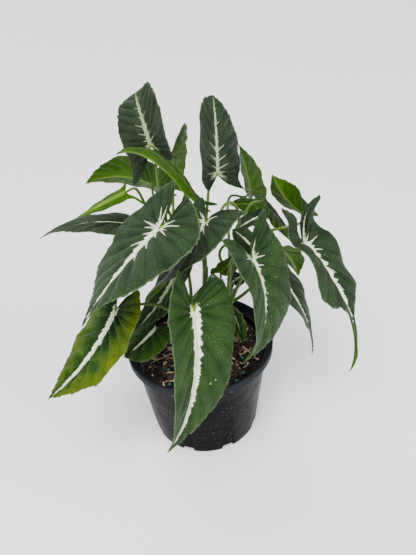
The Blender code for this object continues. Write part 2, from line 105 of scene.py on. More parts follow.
class Finish:
    """A material under construction: it adds nodes, hands back their outputs and lays coats of paint."""

    def __init__(self, name, sockets, paint=None):
        self.material = bpy.data.materials.new(name)
        self.material.use_nodes = True
        self.tree = self.material.node_tree
        self.shader = self.tree.nodes["Principled BSDF"]
        self.paint = paint
        for socket, value in sockets.items():
            self.shader.inputs[socket].default_value = value

    def node(self, kind, inputs, output=0, **settings):
        made = self.tree.nodes.new(kind)
        for key, value in settings.items():
            setattr(made, key, value)
        for key, value in inputs.items():
            if isinstance(value, bpy.types.NodeSocket):
                self.tree.links.new(value, made.inputs[key])
            else:
                made.inputs[key].default_value = value
        return made.outputs[output]

    def sum(self, operation, *values):
        return self.node("ShaderNodeMath", dict(enumerate(values)), operation=operation)

    def times(self, first, second):
        return self.sum("MULTIPLY", first, second)

    def span(self, value, low, high, start=0.0, end=1.0):
        """Carry low..high to start..end, held at both ends."""
        return self.node("ShaderNodeMapRange", {
            "Value": value, "From Min": low, "From Max": high, "To Min": start, "To Max": end})

    def place(self):
        return self.node("ShaderNodeTexCoord", {}, output=3)

    def clouds(self, where, scale, detail=2.0, roughness=0.5):
        """Soft noise of a given number of cells to the metre, or to the unit of a map."""
        return self.node("ShaderNodeTexNoise", {
            "Vector": where, "Scale": scale, "Detail": detail, "Roughness": roughness})

    def blend(self, share, first, second):
        """One colour passing into another."""
        first, second = (colour + (1.0,) if isinstance(colour, tuple) else colour
                         for colour in (first, second))
        return self.node("ShaderNodeMix", {0: share, 6: first, 7: second}, output=2, data_type="RGBA")

    def coat(self, colour, share, strength=1.0):
        """Lay a colour over the paint so far, as thickly as its share at each place says."""
        if strength != 1.0:
            share = self.times(share, strength)
        self.paint = self.blend(share, self.paint, colour)

    def finished(self, roughness=None, bumps=()):
        """Wire up the paint, the roughness and the bumps, each a height and its depth in metres."""
        wires = {"Base Color": self.paint}
        if roughness is not None:
            wires["Roughness"] = roughness
        for height, depth in bumps:
            under = {"Normal": wires["Normal"]} if "Normal" in wires else {}
            wires["Normal"] = self.node("ShaderNodeBump", {
                "Height": height, "Distance": depth, "Strength": 1.0, **under})
        for socket, value in wires.items():
            self.tree.links.new(value, self.shader.inputs[socket])
        return self.material


plastic = Finish("pot_plastic", {"Specular IOR Level": 0.022}, POT_BLACK)
spot = plastic.place()
height = plastic.node("ShaderNodeSeparateXYZ", {0: spot}, output=2)
dust = plastic.clouds(spot, 45.0, 5.0, 0.65)
grit = plastic.span(plastic.clouds(spot, 620.0), 0.66, 0.74)
streak_place = plastic.node("ShaderNodeMapping", {0: spot, 3: (1.0, 1.0, 0.09)})
streaks = plastic.span(plastic.clouds(streak_place, 420.0, 3.0, 0.7), 0.60, 0.80)
scratch_place = plastic.node("ShaderNodeMapping", {0: spot, 2: (0.5, 0.3, 0.2), 3: (1.0, 0.12, 0.5)})
scratches = plastic.span(plastic.clouds(scratch_place, 600.0), 0.685, 0.73)
# The rim band is painted a paler blue-grey, patchy with the dust, and is a little rougher.
pale_rim_band = plastic.times(plastic.span(height, BAND_FOOT - LIP, BAND_FOOT + LIP),
                         plastic.span(dust, 0.30, 0.60, 0.50, 1.0))
plastic.coat(RIM_GREY, pale_rim_band)
plastic.coat(DUST_GREY, plastic.span(dust, 0.46, 0.75, 0.0, 0.40))
plastic.coat(SCRATCH_GREY, streaks, 0.10)
plastic.coat(SCRATCH_GREY, scratches, 0.30)
plastic.coat(FLECK_WHITE, plastic.times(grit, plastic.span(dust, 0.48, 0.62)), 0.65)
gloss = plastic.sum("ADD", plastic.span(dust, 0.30, 0.72, 0.24, 0.46), plastic.times(pale_rim_band, 0.16))
pot_plastic = plastic.finished(gloss, [
    (plastic.clouds(spot, 60.0, 3.0), 0.0009), (scratches, -0.00003), (grit, 0.00006)])

rim = 0.5 * RIM_DIAMETER
pot_profile = [
    (0.0, FLOOR),
    (wall_radius(FLOOR) - WALL, FLOOR),
    (wall_radius(BAND_FOOT) - WALL, BAND_FOOT + LIP),
    (rim - 2.2 * LIP, BAND_FOOT + 2.0 * LIP),
    (rim - 1.9 * LIP, POT_HEIGHT - 0.5 * LIP),
    (rim - 1.6 * LIP, POT_HEIGHT - 0.1 * LIP),
    (rim - 1.1 * LIP, POT_HEIGHT),
    (rim - 0.5 * LIP, POT_HEIGHT - 0.1 * LIP),
    (rim - 0.1 * LIP, POT_HEIGHT - 0.5 * LIP),
    (rim, POT_HEIGHT - 1.2 * LIP),
    (rim - 0.3 * LIP, BAND_FOOT + 0.8 * LIP),
    (rim - 0.6 * LIP, BAND_FOOT + 0.2 * LIP),
    (rim - 1.1 * LIP, BAND_FOOT),
    (wall_radius(BAND_FOOT) + 0.4 * LIP, BAND_FOOT - 0.2 * LIP),
    (wall_radius(BAND_FOOT), BAND_FOOT - LIP),
    (wall_radius(3.0 * LIP), 3.0 * LIP),
    (wall_radius(1.2 * LIP) - 0.3 * LIP, 1.2 * LIP),
    (wall_radius(0.0) - 0.9 * LIP, 0.3 * LIP),
    (wall_radius(0.0) - 1.5 * LIP, 0.0),
    (0.0, 0.0),
]
work = bmesh.new()
corners = [work.verts.new((radius, 0.0, z)) for radius, z in pot_profile]
for start, end in zip(corners[:-1], corners[1:]):
    work.edges.new((start, end))
turning = smooth_object("pot_turning", work, [])
screw = turning.modifiers.new("Turn", "SCREW")
screw.steps = POT_SIDES
screw.render_steps = POT_SIDES
screw.use_merge_vertices = True
screw.merge_threshold = 0.02 * MM
cutters = []
for index in range(DRAIN_NOTCHES):
    angle = math.tau * (index + 0.5) / DRAIN_NOTCHES
    bpy.ops.mesh.primitive_cube_add(size=1.0)
    cutter = bpy.context.object
    cutter.data.transform(Matrix.Diagonal((*DRAIN_SIZE, 1.0)))
    rounding = cutter.modifiers.new("Round", "BEVEL")
    rounding.width = DRAIN_ROUNDING
    rounding.segments = 4
    cutter.location = (wall_radius(0.0) * math.cos(angle), wall_radius(0.0) * math.sin(angle), 0.0)
    cutter.rotation_euler = (0.0, 0.0, angle)
    cut = turning.modifiers.new("Notch", "BOOLEAN")
    cut.operation = "DIFFERENCE"
    cut.solver = "EXACT"
    cut.object = cutter
    cutters.append(cutter)
bpy.context.view_layer.update()
work = bmesh.new()
work.from_mesh(settled_mesh(turning))
for used in cutters + [turning]:
    bpy.data.objects.remove(used, do_unlink=True)
bmesh.ops.remove_doubles(work, verts=work.verts, dist=0.01 * MM)
bmesh.ops.recalc_face_normals(work, faces=work.faces)
for edge in work.edges:
    edge.smooth = len(edge.link_faces) == 2 and edge.calc_face_angle() < SHARP_CORNER
pot = smooth_object("nursery_pot", work, [pot_plastic])
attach(pot, "root")
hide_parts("pot")

# The potting mix
# A bed of dark composted bark with loose chips and splinters on top, sprinkled with white perlite
# grains and a few teal slow-release feed beads. The bed is one body, the loose things lie on it.
SOIL_LEVEL = 83.0 * MM
BED_SIDES = 96
BED_RINGS = 30
CHIP_RELIEF = 2.6 * MM
RELIEF_CELL = 9.0 * MM
RELIEF_SHUFFLE = 7.3
RELIEF_TILT = 1.7
RELIEF_STEP_SHARE = 0.40
RELIEF_TILT_SHARE = 0.45
RELIEF_LAYER = 0.31
CRUMB = 0.35 * MM
CRUMBS_PER_METRE = 900.0
LUMPS_PER_METRE = 1500.0
SHADES_PER_METRE = 400.0
FIT_GAP = 0.3 * MM
CHIP_COUNT = 900
CHIP_SIZES = (2.6, 6.0)
LARGE_CHIP_SIZES = (6.5, 13.0)
LARGE_CHIP_EVERY = 5
CHIP_THICKNESSES = (0.8, 1.9)
CHIP_TIPPING = 0.45
SPLINTER_COUNT = 95
SPLINTER_LENGTHS = (6.0, 19.0)
SPLINTER_WIDTHS = (0.8, 1.5)
SPLINTER_THICKNESS = 0.7 * MM
SPLINTER_TIPPING = 0.16
ANY_WAY_UP = 3.0
STEM_CLEARANCE = 4.5 * MM
CHIP_MARGIN = 0.55
EDGE_GAP = 0.6 * MM
DAMP_BARK = (0.0025, 0.0015, 0.0010)
BED_BROWNS = ((0.012, 0.006, 0.003), (0.05, 0.03, 0.018))
CHIP_BROWNS = ((0.062, 0.032, 0.019), (0.52, 0.37, 0.25))
PERLITE_COUNT = 52
PERLITE_SIZES = (1.3, 3.0)
PERLITE_LUMP = 0.45
PERLITE_WHITE = (0.60, 0.56, 0.48)
PERLITE_STAIN = (0.22, 0.16, 0.11)
BEAD_COUNT = 24
BEAD_SIZES = (2.3, 3.0)
BEAD_LUMP = 0.06
BEAD_TEALS = ((0.000, 0.060, 0.045), (0.004, 0.150, 0.105))

# Where each stem leaves the mix, and where its top leans to, in millimetres.
STEMS = {
    "left_back": ((-16, 12), (-22, 24, 150)),
    "left_front": ((-10, -14), (-6, -18, 136)),
    "middle": ((6, 10), (10, 22, 158)),
    "right_front": ((22, -8), (27, -6, 138)),
    "right_back": ((27, 16), (33, 19, 162)),
}


def bed_height(x, y):
    """Top of the mix at a place, with the lie of the larger chips."""
    spot = Vector((x, y, RELIEF_LAYER)) / RELIEF_CELL
    nearest = noise.voronoi(spot)[1][0]
    step = noise.cell(nearest * RELIEF_SHUFFLE)
    tilt = noise.noise(spot * RELIEF_TILT)
    crumb = noise.noise(Vector((x, y, 0.1)) * CRUMBS_PER_METRE)
    return SOIL_LEVEL + CHIP_RELIEF * (RELIEF_STEP_SHARE * step + RELIEF_TILT_SHARE * tilt) + CRUMB * crumb


def mix_finish(name, dark, mid, pale, pale_share):
    """Bark in its mixed browns: each chip carries a shade, and fibres run along it."""
    bark = Finish(name, {"Specular IOR Level": 0.25}, dark)
    spot = bark.place()
    shade = bark.node("ShaderNodeAttribute", {}, output=2, attribute_name="shade")
    fibre_place = bark.node("ShaderNodeMapping", {0: spot, 2: (0.4, 0.2, 0.8), 3: (1.0, 0.25, 1.0)})
    fibres = bark.clouds(fibre_place, 1300.0, 3.0, 0.6)
    damp = bark.clouds(spot, 70.0, 3.0)
    bark.coat(mid, bark.span(shade, 0.0, 0.85))
    bark.coat(dark, bark.span(damp, 0.40, 0.65, 0.60, 0.0))
    bark.coat(mid, bark.span(fibres, 0.40, 0.70, 0.0, 0.45))
    bark.coat(pale, bark.span(shade, 1.0 - pale_share, 1.0))
    return bark.finished(bark.span(damp, 0.35, 0.65, 0.50, 0.90), [
        (fibres, 0.0006), (bark.clouds(spot, 2600.0), 0.0003)])


def add_shade(item, shades):
    """Keep a shade from 0 to 1 on every point of an object."""
    store = item.data.attributes.new("shade", "FLOAT", "POINT")
    store.data.foreach_set("value", shades)


def join_rings(work, near, far):
    """A band of faces between two rings of points."""
    for index in range(len(near)):
        after = (index + 1) % len(near)
        work.faces.new((near[index], near[after], far[after], far[index]))


foot = FLOOR + FIT_GAP
bed_foot = wall_radius(foot) - WALL - FIT_GAP - 0.2 * MM
bed_top = wall_radius(SOIL_LEVEL) - WALL - FIT_GAP - 0.5 * MM
work = bmesh.new()
centre = work.verts.new((0.0, 0.0, bed_height(0.0, 0.0)))
rings = []
for ring in range(1, BED_RINGS + 1):
    radius = bed_top * ring / BED_RINGS
    row = []
    for side in range(BED_SIDES):
        angle = math.tau * (side + 0.5 * (ring % 2)) / BED_SIDES
        x = radius * math.cos(angle)
        y = radius * math.sin(angle)
        row.append(work.verts.new((x, y, bed_height(x, y))))
    rings.append(row)
taper = bed_foot / bed_top
rings.append([work.verts.new((edge.co.x * taper, edge.co.y * taper, foot)) for edge in rings[-1]])
bottom = work.verts.new((0.0, 0.0, foot))
for side in range(BED_SIDES):
    after = (side + 1) % BED_SIDES
    work.faces.new((centre, rings[0][side], rings[0][after]))
    work.faces.new((bottom, rings[-1][after], rings[-1][side]))
for inner, outer in zip(rings[:-1], rings[1:]):
    join_rings(work, inner, outer)
bmesh.ops.recalc_face_normals(work, faces=work.faces)
bed = smooth_object("potting_bed", work, [mix_finish("bark_bed", DAMP_BARK, *BED_BROWNS, 0.10)])
add_shade(bed, [noise.cell(point.co * SHADES_PER_METRE) for point in bed.data.vertices])
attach(bed, "root")
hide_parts("potting_mix")


def scatter_spot(draw, margin):
    """A place on the bed, clear of the pot's wall and of the stems."""
    while True:
        radius = (bed_top - margin) * math.sqrt(draw.random())
        angle = draw.uniform(0.0, math.tau)
        x = radius * math.cos(angle)
        y = radius * math.sin(angle)
        if all(math.hypot(x - mouth[0] * MM, y - mouth[1] * MM) > STEM_CLEARANCE
               for mouth, top in STEMS.values()):
            return x, y


def lay_down(draw, x, y, rise, tilt):
    """Where a loose thing lies: turned any way round and tipped a little on the bed."""
    tip = Matrix.Rotation(draw.uniform(-tilt, tilt), 4, "X")
    tip = tip @ Matrix.Rotation(draw.uniform(-tilt, tilt), 4, "Y")
    turn = Matrix.Rotation(draw.uniform(0.0, math.tau), 4, "Z")
    return Matrix.Translation((x, y, bed_height(x, y) + rise)) @ turn @ tip


def add_chip(work, draw, matrix, length, width, thick, shade, shades):
    """A torn flake of bark: a thin plate with a ragged edge and a smaller top."""
    count = draw.randint(5, 7)
    edge = []
    for index in range(count):
        angle = math.tau * (index + draw.uniform(-0.25, 0.25)) / count
        reach = 0.5 * draw.uniform(0.72, 1.0)
        edge.append((length * reach * math.cos(angle), width * reach * math.sin(angle)))
    lift = 0.5 * thick
    top = [work.verts.new(matrix @ Vector((x * 0.9, y * 0.9, lift * draw.uniform(0.7, 1.1))))
           for x, y in edge]
    low = [work.verts.new(matrix @ Vector((x, y, -lift))) for x, y in edge]
    work.faces.new(top)
    work.faces.new(low[::-1])
    join_rings(work, low, top)
    shades.extend([shade] * (2 * count))


draw = random.Random(41)
work = bmesh.new()
shades = []
for index in range(CHIP_COUNT):
    size = draw.uniform(*(CHIP_SIZES if index % LARGE_CHIP_EVERY else LARGE_CHIP_SIZES)) * MM
    x, y = scatter_spot(draw, CHIP_MARGIN * size + EDGE_GAP)
    thick = min(0.30 * size, draw.uniform(*CHIP_THICKNESSES) * MM)
    matrix = lay_down(draw, x, y, draw.uniform(0.0, 1.3) * MM, CHIP_TIPPING)
    add_chip(work, draw, matrix, size, size * draw.uniform(0.35, 0.75), thick, draw.random(), shades)
for index in range(SPLINTER_COUNT):
    size = draw.uniform(*SPLINTER_LENGTHS) * MM
    x, y = scatter_spot(draw, CHIP_MARGIN * size + EDGE_GAP)
    matrix = lay_down(draw, x, y, draw.uniform(0.9, 2.2) * MM, SPLINTER_TIPPING)
    width = draw.uniform(*SPLINTER_WIDTHS) * MM
    add_chip(work, draw, matrix, size, width, SPLINTER_THICKNESS, draw.uniform(0.93, 1.0), shades)
chips = smooth_object("bark_chips", work, [mix_finish("bark_chip", DAMP_BARK, *CHIP_BROWNS, 0.17)])
chips.data.polygons.foreach_set("use_smooth", [False] * len(chips.data.polygons))
add_shade(chips, shades)
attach(chips, "root")


def round_grains(name, finish, count, sizes, lump, seed):
    """Loose grains or beads on the bed, each a small ball that may be lumpy."""
    draw = random.Random(seed)
    work = bmesh.new()
    for index in range(count):
        size = draw.uniform(*sizes) * MM
        x, y = scatter_spot(draw, size)
        squash = Matrix.Diagonal((1.0, draw.uniform(1.0 - lump, 1.0), draw.uniform(1.0 - lump, 1.0), 1.0))
        rise = (0.3 + draw.uniform(0.6, 1.4)) * 0.5 * size + 0.5 * MM
        matrix = lay_down(draw, x, y, rise, ANY_WAY_UP) @ squash
        ball = bmesh.ops.create_icosphere(work, subdivisions=2, radius=0.5 * size, matrix=matrix)
        for point in ball["verts"]:
            push = noise.noise(point.co * LUMPS_PER_METRE + Vector((index, 0.0, 0.0)))
            point.co += (point.co - matrix.translation) * lump * push
    grains = smooth_object(name, work, [finish])
    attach(grains, "root")


perlite = Finish("perlite", {"Specular IOR Level": 0.3, "Roughness": 0.85}, PERLITE_WHITE)
spot = perlite.place()
perlite.coat(PERLITE_STAIN, perlite.span(perlite.clouds(spot, 260.0), 0.40, 0.62))
perlite.finished(bumps=[(perlite.clouds(spot, 1800.0, 3.0), 0.0005)])
round_grains("perlite_grains", perlite.material, PERLITE_COUNT, PERLITE_SIZES, PERLITE_LUMP, 7)
bead = Finish("feed_bead", {"Specular IOR Level": 0.6, "Roughness": 0.28}, BEAD_TEALS[0])
spot = bead.place()
bead.coat(BEAD_TEALS[1], bead.clouds(spot, 420.0))
bead.finished(bumps=[(bead.clouds(spot, 1500.0), 0.0001)])
round_grains("feed_beads", bead.material, BEAD_COUNT, BEAD_SIZES, BEAD_LUMP, 11)

# The stems and stalks
# Five short jointed stems stand in the mix. Smooth round stalks leave them, each with a pale sheath
# wrapped round the stem at its foot and a shallow groove along its upper side.
STEM_FOOT_RADIUS = 3.4 * MM
STEM_TOP_RADIUS = 2.5 * MM
STEM_STEPS = 6
STEM_RINGS = 40
STEM_LEAN = 1.6
STEM_JOINTS = 6.0
JOINT_SWELL = 0.10
JOINT_SHARPNESS = 12
STEM_HOLE_DEPTH = 25.0 * MM
STALK_FOOT_RADIUS = 1.5 * MM
STALK_END_RADIUS = 0.85 * MM
STALK_STEPS = 44
STALK_STANDOFF = 1.3 * MM
STALK_INCIDENCE = math.radians(56.6)
STALK_ENDING = (9.0 * MM, 3.0 * MM)
STALK_PUSH = 0.4 * MM
SHEATH_SHARE = 0.30
SHEATH_SWELL = 0.55
SHEATH_GROOVE = 0.20
STALK_GROOVE = 0.16
GROOVE_WIDTH = 0.45
TUBE_SIDES = 14
UPRIGHT = 0.1
STALK_GREENS = ((0.032, 0.082, 0.004), (0.060, 0.125, 0.008))
STALK_FLECK = (0.018, 0.040, 0.006)
SHEATH_PALE = (0.17, 0.26, 0.05)
STEM_BROWN = (0.020, 0.026, 0.008)

# One entry for each leaf, for its stalk here and its blade in the next section.
# junction: where the stalk meets the blade. aim: heading, pitch and roll of the midrib there.
# length and half_width: junction to tip, and midrib to margin. lobe: length and spread of a rear lobe.
# bend: droop, sideways sweep and twist along the midrib. fold, curl and hang: the left and right
# halves' rise from the midrib, their curl towards the margin, and the rear lobes' bend.
# crease: how far from the midrib, in millimetres, the halves take to reach most of their rise.
# wave: depth and number of the margin's waves. edge: the margin's places, as (share of length,
# share of half_width). pinch: how many degrees more the halves rise beside the junction.
# stem, root and route: the stem it grows from, the height where it leaves it, points on its way.
# look: the stripe's half width in millimetres and its end as a share of the length, how far the
# white runs along the side veins, how fresh or dark the green is, and how yellow the margin.
# stripe: how cream the stripe is, from 0 for grey-green to 1. thin: how much painted light, as if
# coming through the blade, lightens the underside, from 0 to 1. spots: blemishes, as (along,
# across to the left, radius, 0 for yellow or 1 for brown).
# Where hang, wave or edge is left out, the usual one of the next section holds. A stalk without a
# route rises first and then leans over to its blade.
LEAVES = {
    "upper_left": dict(
        junction=(-27, 61, 257), aim=(117, 58, -38), length=58, half_width=27,
        lobe=(25, 29), bend=(-56, 16, 23), fold=(-13, 33), curl=(-8, 18), hang=(22, 22),
        edge=((0.20, 1.0), (0.52, 0.90), (0.74, 0.76), (0.90, 0.58)),
        stem="left_back", root=146, look=(2.4, 0.97, 0.62, 0.10, 0.0), stripe=0.05),
    "back_left_green": dict(
        junction=(-12, 82, 237), aim=(106, -54, -28), length=52, half_width=22,
        lobe=(35, 14), bend=(-40, -5, 0), fold=(0, 10), curl=(-25, -10), hang=(-15, 0),
        stem="left_back", root=132, route=((-14, 30, 184), (-12, 54, 236)),
        look=(1.5, 0.7, 0.2, 1.0, 0.0), thin=0.6),
    "left_underside": dict(
        junction=(-30, 72, 215), aim=(149, 18, 56), length=63, half_width=26,
        lobe=(20, 18), bend=(-60, 10, 5), fold=(20, 10), curl=(0, -10), hang=(25, 25),
        stem="left_back", root=120, look=(1.5, 0.7, 0.2, 0.4, 0.3)),
    "long_left": dict(
        junction=(-47, 14, 211), aim=(-176, 21, 9), length=76, half_width=22,
        lobe=(20, 14), bend=(-45, -5, 10), fold=(10, 10), curl=(-35, -20),
        stem="left_back", root=110, look=(1.15, 0.92, 0.05, 0.15, 0.0)),
    "thin_twist": dict(
        junction=(-48, 10, 242), aim=(-131, 7, 131), length=44, half_width=6,
        lobe=(12, 15), bend=(51, 0, 39), fold=(22, 6), curl=(12, -17), hang=(3, -10),
        stem="left_back", root=138, route=((-24, 19, 185), (-36, 15, 238)),
        look=(0.8, 0.6, 0.05, 0.9, 0.2)),
    "big_front_left": dict(
        junction=(-21, -38, 237), aim=(-143, -23, 2), length=90, half_width=47,
        lobe=(36, 22), bend=(-15, 5, 20), fold=(25, -15), curl=(-40, 10), hang=(60, 35),
        stem="left_front", root=132, route=((0, -1, 164), (-20, 16, 243)),
        look=(5.2, 0.97, 0.62, 0.30, 0.0)),
    "yellow_low_left": dict(
        junction=(-61, -50, 174), aim=(-142, -54, 8), length=90, half_width=30,
        lobe=(25, 17), bend=(25, -15, 5), fold=(5, 5), curl=(-20, -10), wave=(1.4, 3.0),
        stem="left_front", root=118, route=((-6, -40, 147), (-29, -39, 173)),
        look=(4.2, 0.95, 0.10, 0.85, 0.9)),
    "low_left_mid": dict(
        junction=(-14, -8, 175), aim=(-136, -47, 15), length=58, half_width=20,
        lobe=(20, 13), bend=(20, -10, -5), fold=(10, 5), curl=(-10, -15),
        stem="left_front", root=126, look=(3.0, 0.92, 0.10, 0.60, 0.0), stripe=0.7),
    "low_left_rim": dict(
        junction=(-35, -28, 135), aim=(-141, -26, 3), length=37, half_width=21,
        lobe=(8, 12), bend=(-15, -35, -10), fold=(5, 0), curl=(-15, -30), hang=(-5, -25),
        stem="left_front", root=104, look=(2.4, 0.75, 0.08, 0.85, 0.15)),
    "front": dict(
        junction=(0, -78, 190), aim=(-81, -68, -17), length=136, half_width=30,
        lobe=(35, 13), bend=(-37, -22, -19), fold=(11, 40), curl=(-2, -25), hang=(64, 4),
        stem="right_front", root=132, route=((14, -22, 180),), look=(4.8, 0.91, 0.22, 0.52, 0.0), crease=9,
        spots=((60, 13, 1.0, 0), (56, 16, 0.8, 0))),
    "arch": dict(
        junction=(-1, 19, 232), aim=(148, 56, -4), length=85, half_width=8,
        lobe=(20, 16), bend=(-88, -18, -4), fold=(89, 55), curl=(1, -20), hang=(-7, -5),
        stem="middle", root=152, look=(1.0, 0.6, 0.05, 0.6, 0.2)),
    "upper_mid": dict(
        junction=(26, 48, 233), aim=(84, 60, 55), length=69, half_width=31,
        lobe=(18, 26), bend=(-18, -17, -4), fold=(-7, 11), curl=(44, -23), hang=(36, 65),
        edge=((0.20, 1.0), (0.52, 0.90), (0.74, 0.66), (0.90, 0.40)),
        stem="middle", root=156, look=(2.5, 0.97, 0.62, 0.05, 0.0), stripe=0.2,
        spots=((27, -26, 2.0, 1),)),
    "inner_bright": dict(
        junction=(22, 2, 166), aim=(-17, 47, -42), length=24, half_width=12,
        lobe=(4, 7), bend=(10, -15, 0), fold=(0, 10), curl=(-35, -15),
        stem="middle", root=130, look=(0.6, 0.6, 0.05, 0.6, 0.2)),
    "centre": dict(
        junction=(13, -24, 231), aim=(-134, -44, 22), length=78, half_width=37,
        lobe=(19, 30), bend=(15, -20, 45), fold=(15, 5), curl=(-30, -15), hang=(-60, -25),
        stem="right_back", root=158, route=((44, 6, 222), (30, -4, 240)),
        look=(3.0, 0.42, 0.50, 0.25, 0.0)),
    "centre_right": dict(
        junction=(45, -49, 212), aim=(-34, -60, -11), length=99, half_width=32,
        lobe=(29, 28), bend=(-65, -15, 0), fold=(30, 20), curl=(-20, -25), hang=(20, -10),
        stem="right_front", root=136, route=((29, -26, 200),),
        look=(3.2, 1.20, 0.50, 0.45, 0.0), crease=9, stripe=0.7),
    "far_right": dict(
        junction=(91, -9, 191), aim=(-48, -25, -18), length=125, half_width=24,
        lobe=(44, 31), bend=(-73, 33, -12), fold=(41, 39), curl=(-52, -102), hang=(52, 91), wave=(2.8, 2.7),
        edge=((0.33, 1.0), (0.45, 0.66), (0.58, 0.28), (0.80, 0.26)), pinch=(21, 32),
        stem="right_front", root=128, route=((39, -10, 171), (59, -13, 203)),
        look=(6.4, 0.76, 0.75, 0.20, 0.0), crease=9),
    "small_mid_b": dict(
        junction=(46, -14, 202), aim=(141, 39, -15), length=20, half_width=9,
        lobe=(8, 6), bend=(-40, -5, 0), fold=(15, 15), curl=(-10, -5),
        stem="right_front", root=134, look=(1.2, 0.8, 0.1, 0.25, 0.0)),
    "soil_small": dict(
        junction=(30, -22, 141), aim=(-73, -6, -25), length=31, half_width=9,
        lobe=(9, 6), bend=(-30, 0, 5), fold=(5, 10), curl=(-25, -15), hang=(-5, -10),
        stem="right_front", root=112, look=(0.7, 0.7, 0.05, 0.85, 0.5)),
    "peek_small": dict(
        junction=(35, 5, 155), aim=(43, 0, 10), length=17, half_width=8,
        lobe=(6, 5), bend=(-40, 5, 0), fold=(5, 5), curl=(-15, -20),
        stem="right_front", root=120, look=(1.0, 0.8, 0.4, 0.3, 0.0)),
    "upper_right_curl": dict(
        junction=(96, 38, 196), aim=(155, 28, 47), length=42, half_width=21,
        lobe=(12, 14), bend=(34, 20, 36), fold=(14, 10), curl=(-15, -6),
        stem="right_back", root=150, route=((13, 66, 153), (81, -2, 208)), look=(2.4, 0.8, 0.2, 0.3, 0.1)),
    "centre_back_green": dict(
        junction=(60, 62, 192), aim=(156, 11, 53), length=26, half_width=14,
        lobe=(10, 10), bend=(-35, -10, 0), fold=(7, -2), curl=(-20, -40),
        stem="right_back", root=140, route=((32, 30, 163), (44, 45, 191)), look=(0.8, 0.7, 0.1, 0.6, 0.2)),
    "small_mid_a": dict(
        junction=(56, 25, 202), aim=(-158, -9, -3), length=23, half_width=9,
        lobe=(9, 6), bend=(-20, -5, 0), fold=(10, 10), curl=(-10, -10),
        stem="right_back", root=160, look=(1.3, 0.85, 0.1, 0.15, 0.0)),
    "right_underside": dict(
        junction=(78, 32, 163), aim=(44, -46, -15), length=41, half_width=14,
        lobe=(10, 9), bend=(-40, -5, 0), fold=(15, 15), curl=(-5, -5),
        stem="right_back", root=128, route=((46, 28, 140), (62, 30, 156)), look=(0.9, 0.7, 0.2, 1.0, 0.2)),
    "right_narrow_dark": dict(
        junction=(65, 37, 211), aim=(-6, -58, -16), length=52, half_width=18,
        lobe=(12, 10), bend=(-10, 0, -15), fold=(-15, 5), curl=(-20, -25),
        stem="right_back", root=156, route=((36, 24, 177), (49, 36, 208)),
        look=(0.6, 0.6, 0.05, 0.12, 0.0)),
    "right_tail": dict(
        junction=(62, 4, 171), aim=(-24, -47, 1), length=119, half_width=18,
        lobe=(20, 13), bend=(-48, 17, -13), fold=(14, 12), curl=(-12, -6), wave=(1.6, 3.2),
        edge=((0.24, 1.0), (0.50, 0.86), (0.70, 0.30), (0.84, 0.17)),
        stem="right_back", root=120, route=((55, 8, 145), (48, 1, 173)), look=(2.6, 0.76, 0.10, 0.35, 0.0)),
    "right_back_green": dict(
        junction=(57, 82, 195), aim=(119, 73, 76), length=46, half_width=21,
        lobe=(15, 13), bend=(-10, 5, 0), fold=(25, 10), curl=(-10, -20),
        stem="right_back", root=134, route=((33, 38, 178), (32, 67, 207)), look=(1.0, 0.7, 0.1, 0.4, 0.2)),
}


def leaf_frame(plan):
    """Axes at the junction: forward along the midrib, left across the blade, up from its face."""
    heading, pitch, roll = (math.radians(angle) for angle in plan["aim"])
    turn = Matrix.Rotation(heading, 3, "Z")
    tip_up = Matrix.Rotation(-pitch, 3, "Y")
    roll_over = Matrix.Rotation(roll, 3, "X")
    return turn @ tip_up @ roll_over


def stem_line(stem):
    """Points up a stem, from the foot of its hole to its leaning top."""
    (mouth_x, mouth_y), top = STEMS[stem]
    mouth = Vector((mouth_x * MM, mouth_y * MM, SOIL_LEVEL))
    way = Vector(top) * MM - mouth
    line = [mouth - Vector((0.0, 0.0, STEM_HOLE_DEPTH - FIT_GAP)), mouth]
    for step in range(1, STEM_STEPS + 1):
        share = step / STEM_STEPS
        lean = share ** STEM_LEAN
        line.append(mouth + Vector((way.x * lean, way.y * lean, way.z * share)))
    return line


def stem_point(stem, height):
    """Where a stem's line reaches a height, or else its top."""
    line = stem_line(stem)
    for low, high in zip(line[:-1], line[1:]):
        if high.z >= height:
            return low.lerp(high, (height - low.z) / (high.z - low.z))
    return line[-1]


def smooth_route(controls, count):
    """Points on a uniform cubic B-spline that starts and ends on its end controls."""
    line = [controls[0]] * 2 + list(controls) + [controls[-1]] * 2
    spans = len(line) - 3
    points = []
    for step in range(count):
        place = min(spans * step / (count - 1), spans - 1e-9)
        index = int(place)
        t = place - index
        a, b, c, d = line[index:index + 4]
        points.append((a * (1 - t) ** 3 + b * (3 * t ** 3 - 6 * t ** 2 + 4)
                       + c * (-3 * t ** 3 + 3 * t ** 2 + 3 * t + 1) + d * t ** 3) / 6.0)
    return points


def stalk_line(plan):
    """Points along a leaf stalk, from inside its stem to the underside of the blade."""
    root = stem_point(plan["stem"], plan["root"] * MM)
    axes = leaf_frame(plan)
    end = Vector(plan["junction"]) * MM - axes.col[2] * STALK_STANDOFF
    inward = axes @ Vector((math.cos(STALK_INCIDENCE), 0.0, math.sin(STALK_INCIDENCE)))
    if "route" in plan:
        middle = [Vector(point) * MM for point in plan["route"]]
    else:
        way = end - root
        level = math.hypot(way.x, way.y)
        middle = [root + Vector((0.12 * way.x, 0.12 * way.y, 0.45 * way.z)),
                  root + Vector((0.55 * way.x, 0.55 * way.y, 0.90 * way.z + 0.10 * level))]
    controls = [root] + middle + [end - inward * back for back in STALK_ENDING] + [end]
    return smooth_route(controls, STALK_STEPS) + [end + inward * STALK_PUSH]


def stem_section(share):
    """Radius, groove and age, 0 fresh to 2 old, of a stem at a share of its height, with its joints."""
    joint = JOINT_SWELL * max(0.0, math.cos(math.tau * STEM_JOINTS * share)) ** JOINT_SHARPNESS
    radius = STEM_FOOT_RADIUS + (STEM_TOP_RADIUS - STEM_FOOT_RADIUS) * share
    return radius * (1.0 + joint), 0.0, 1.9 - 0.9 * share


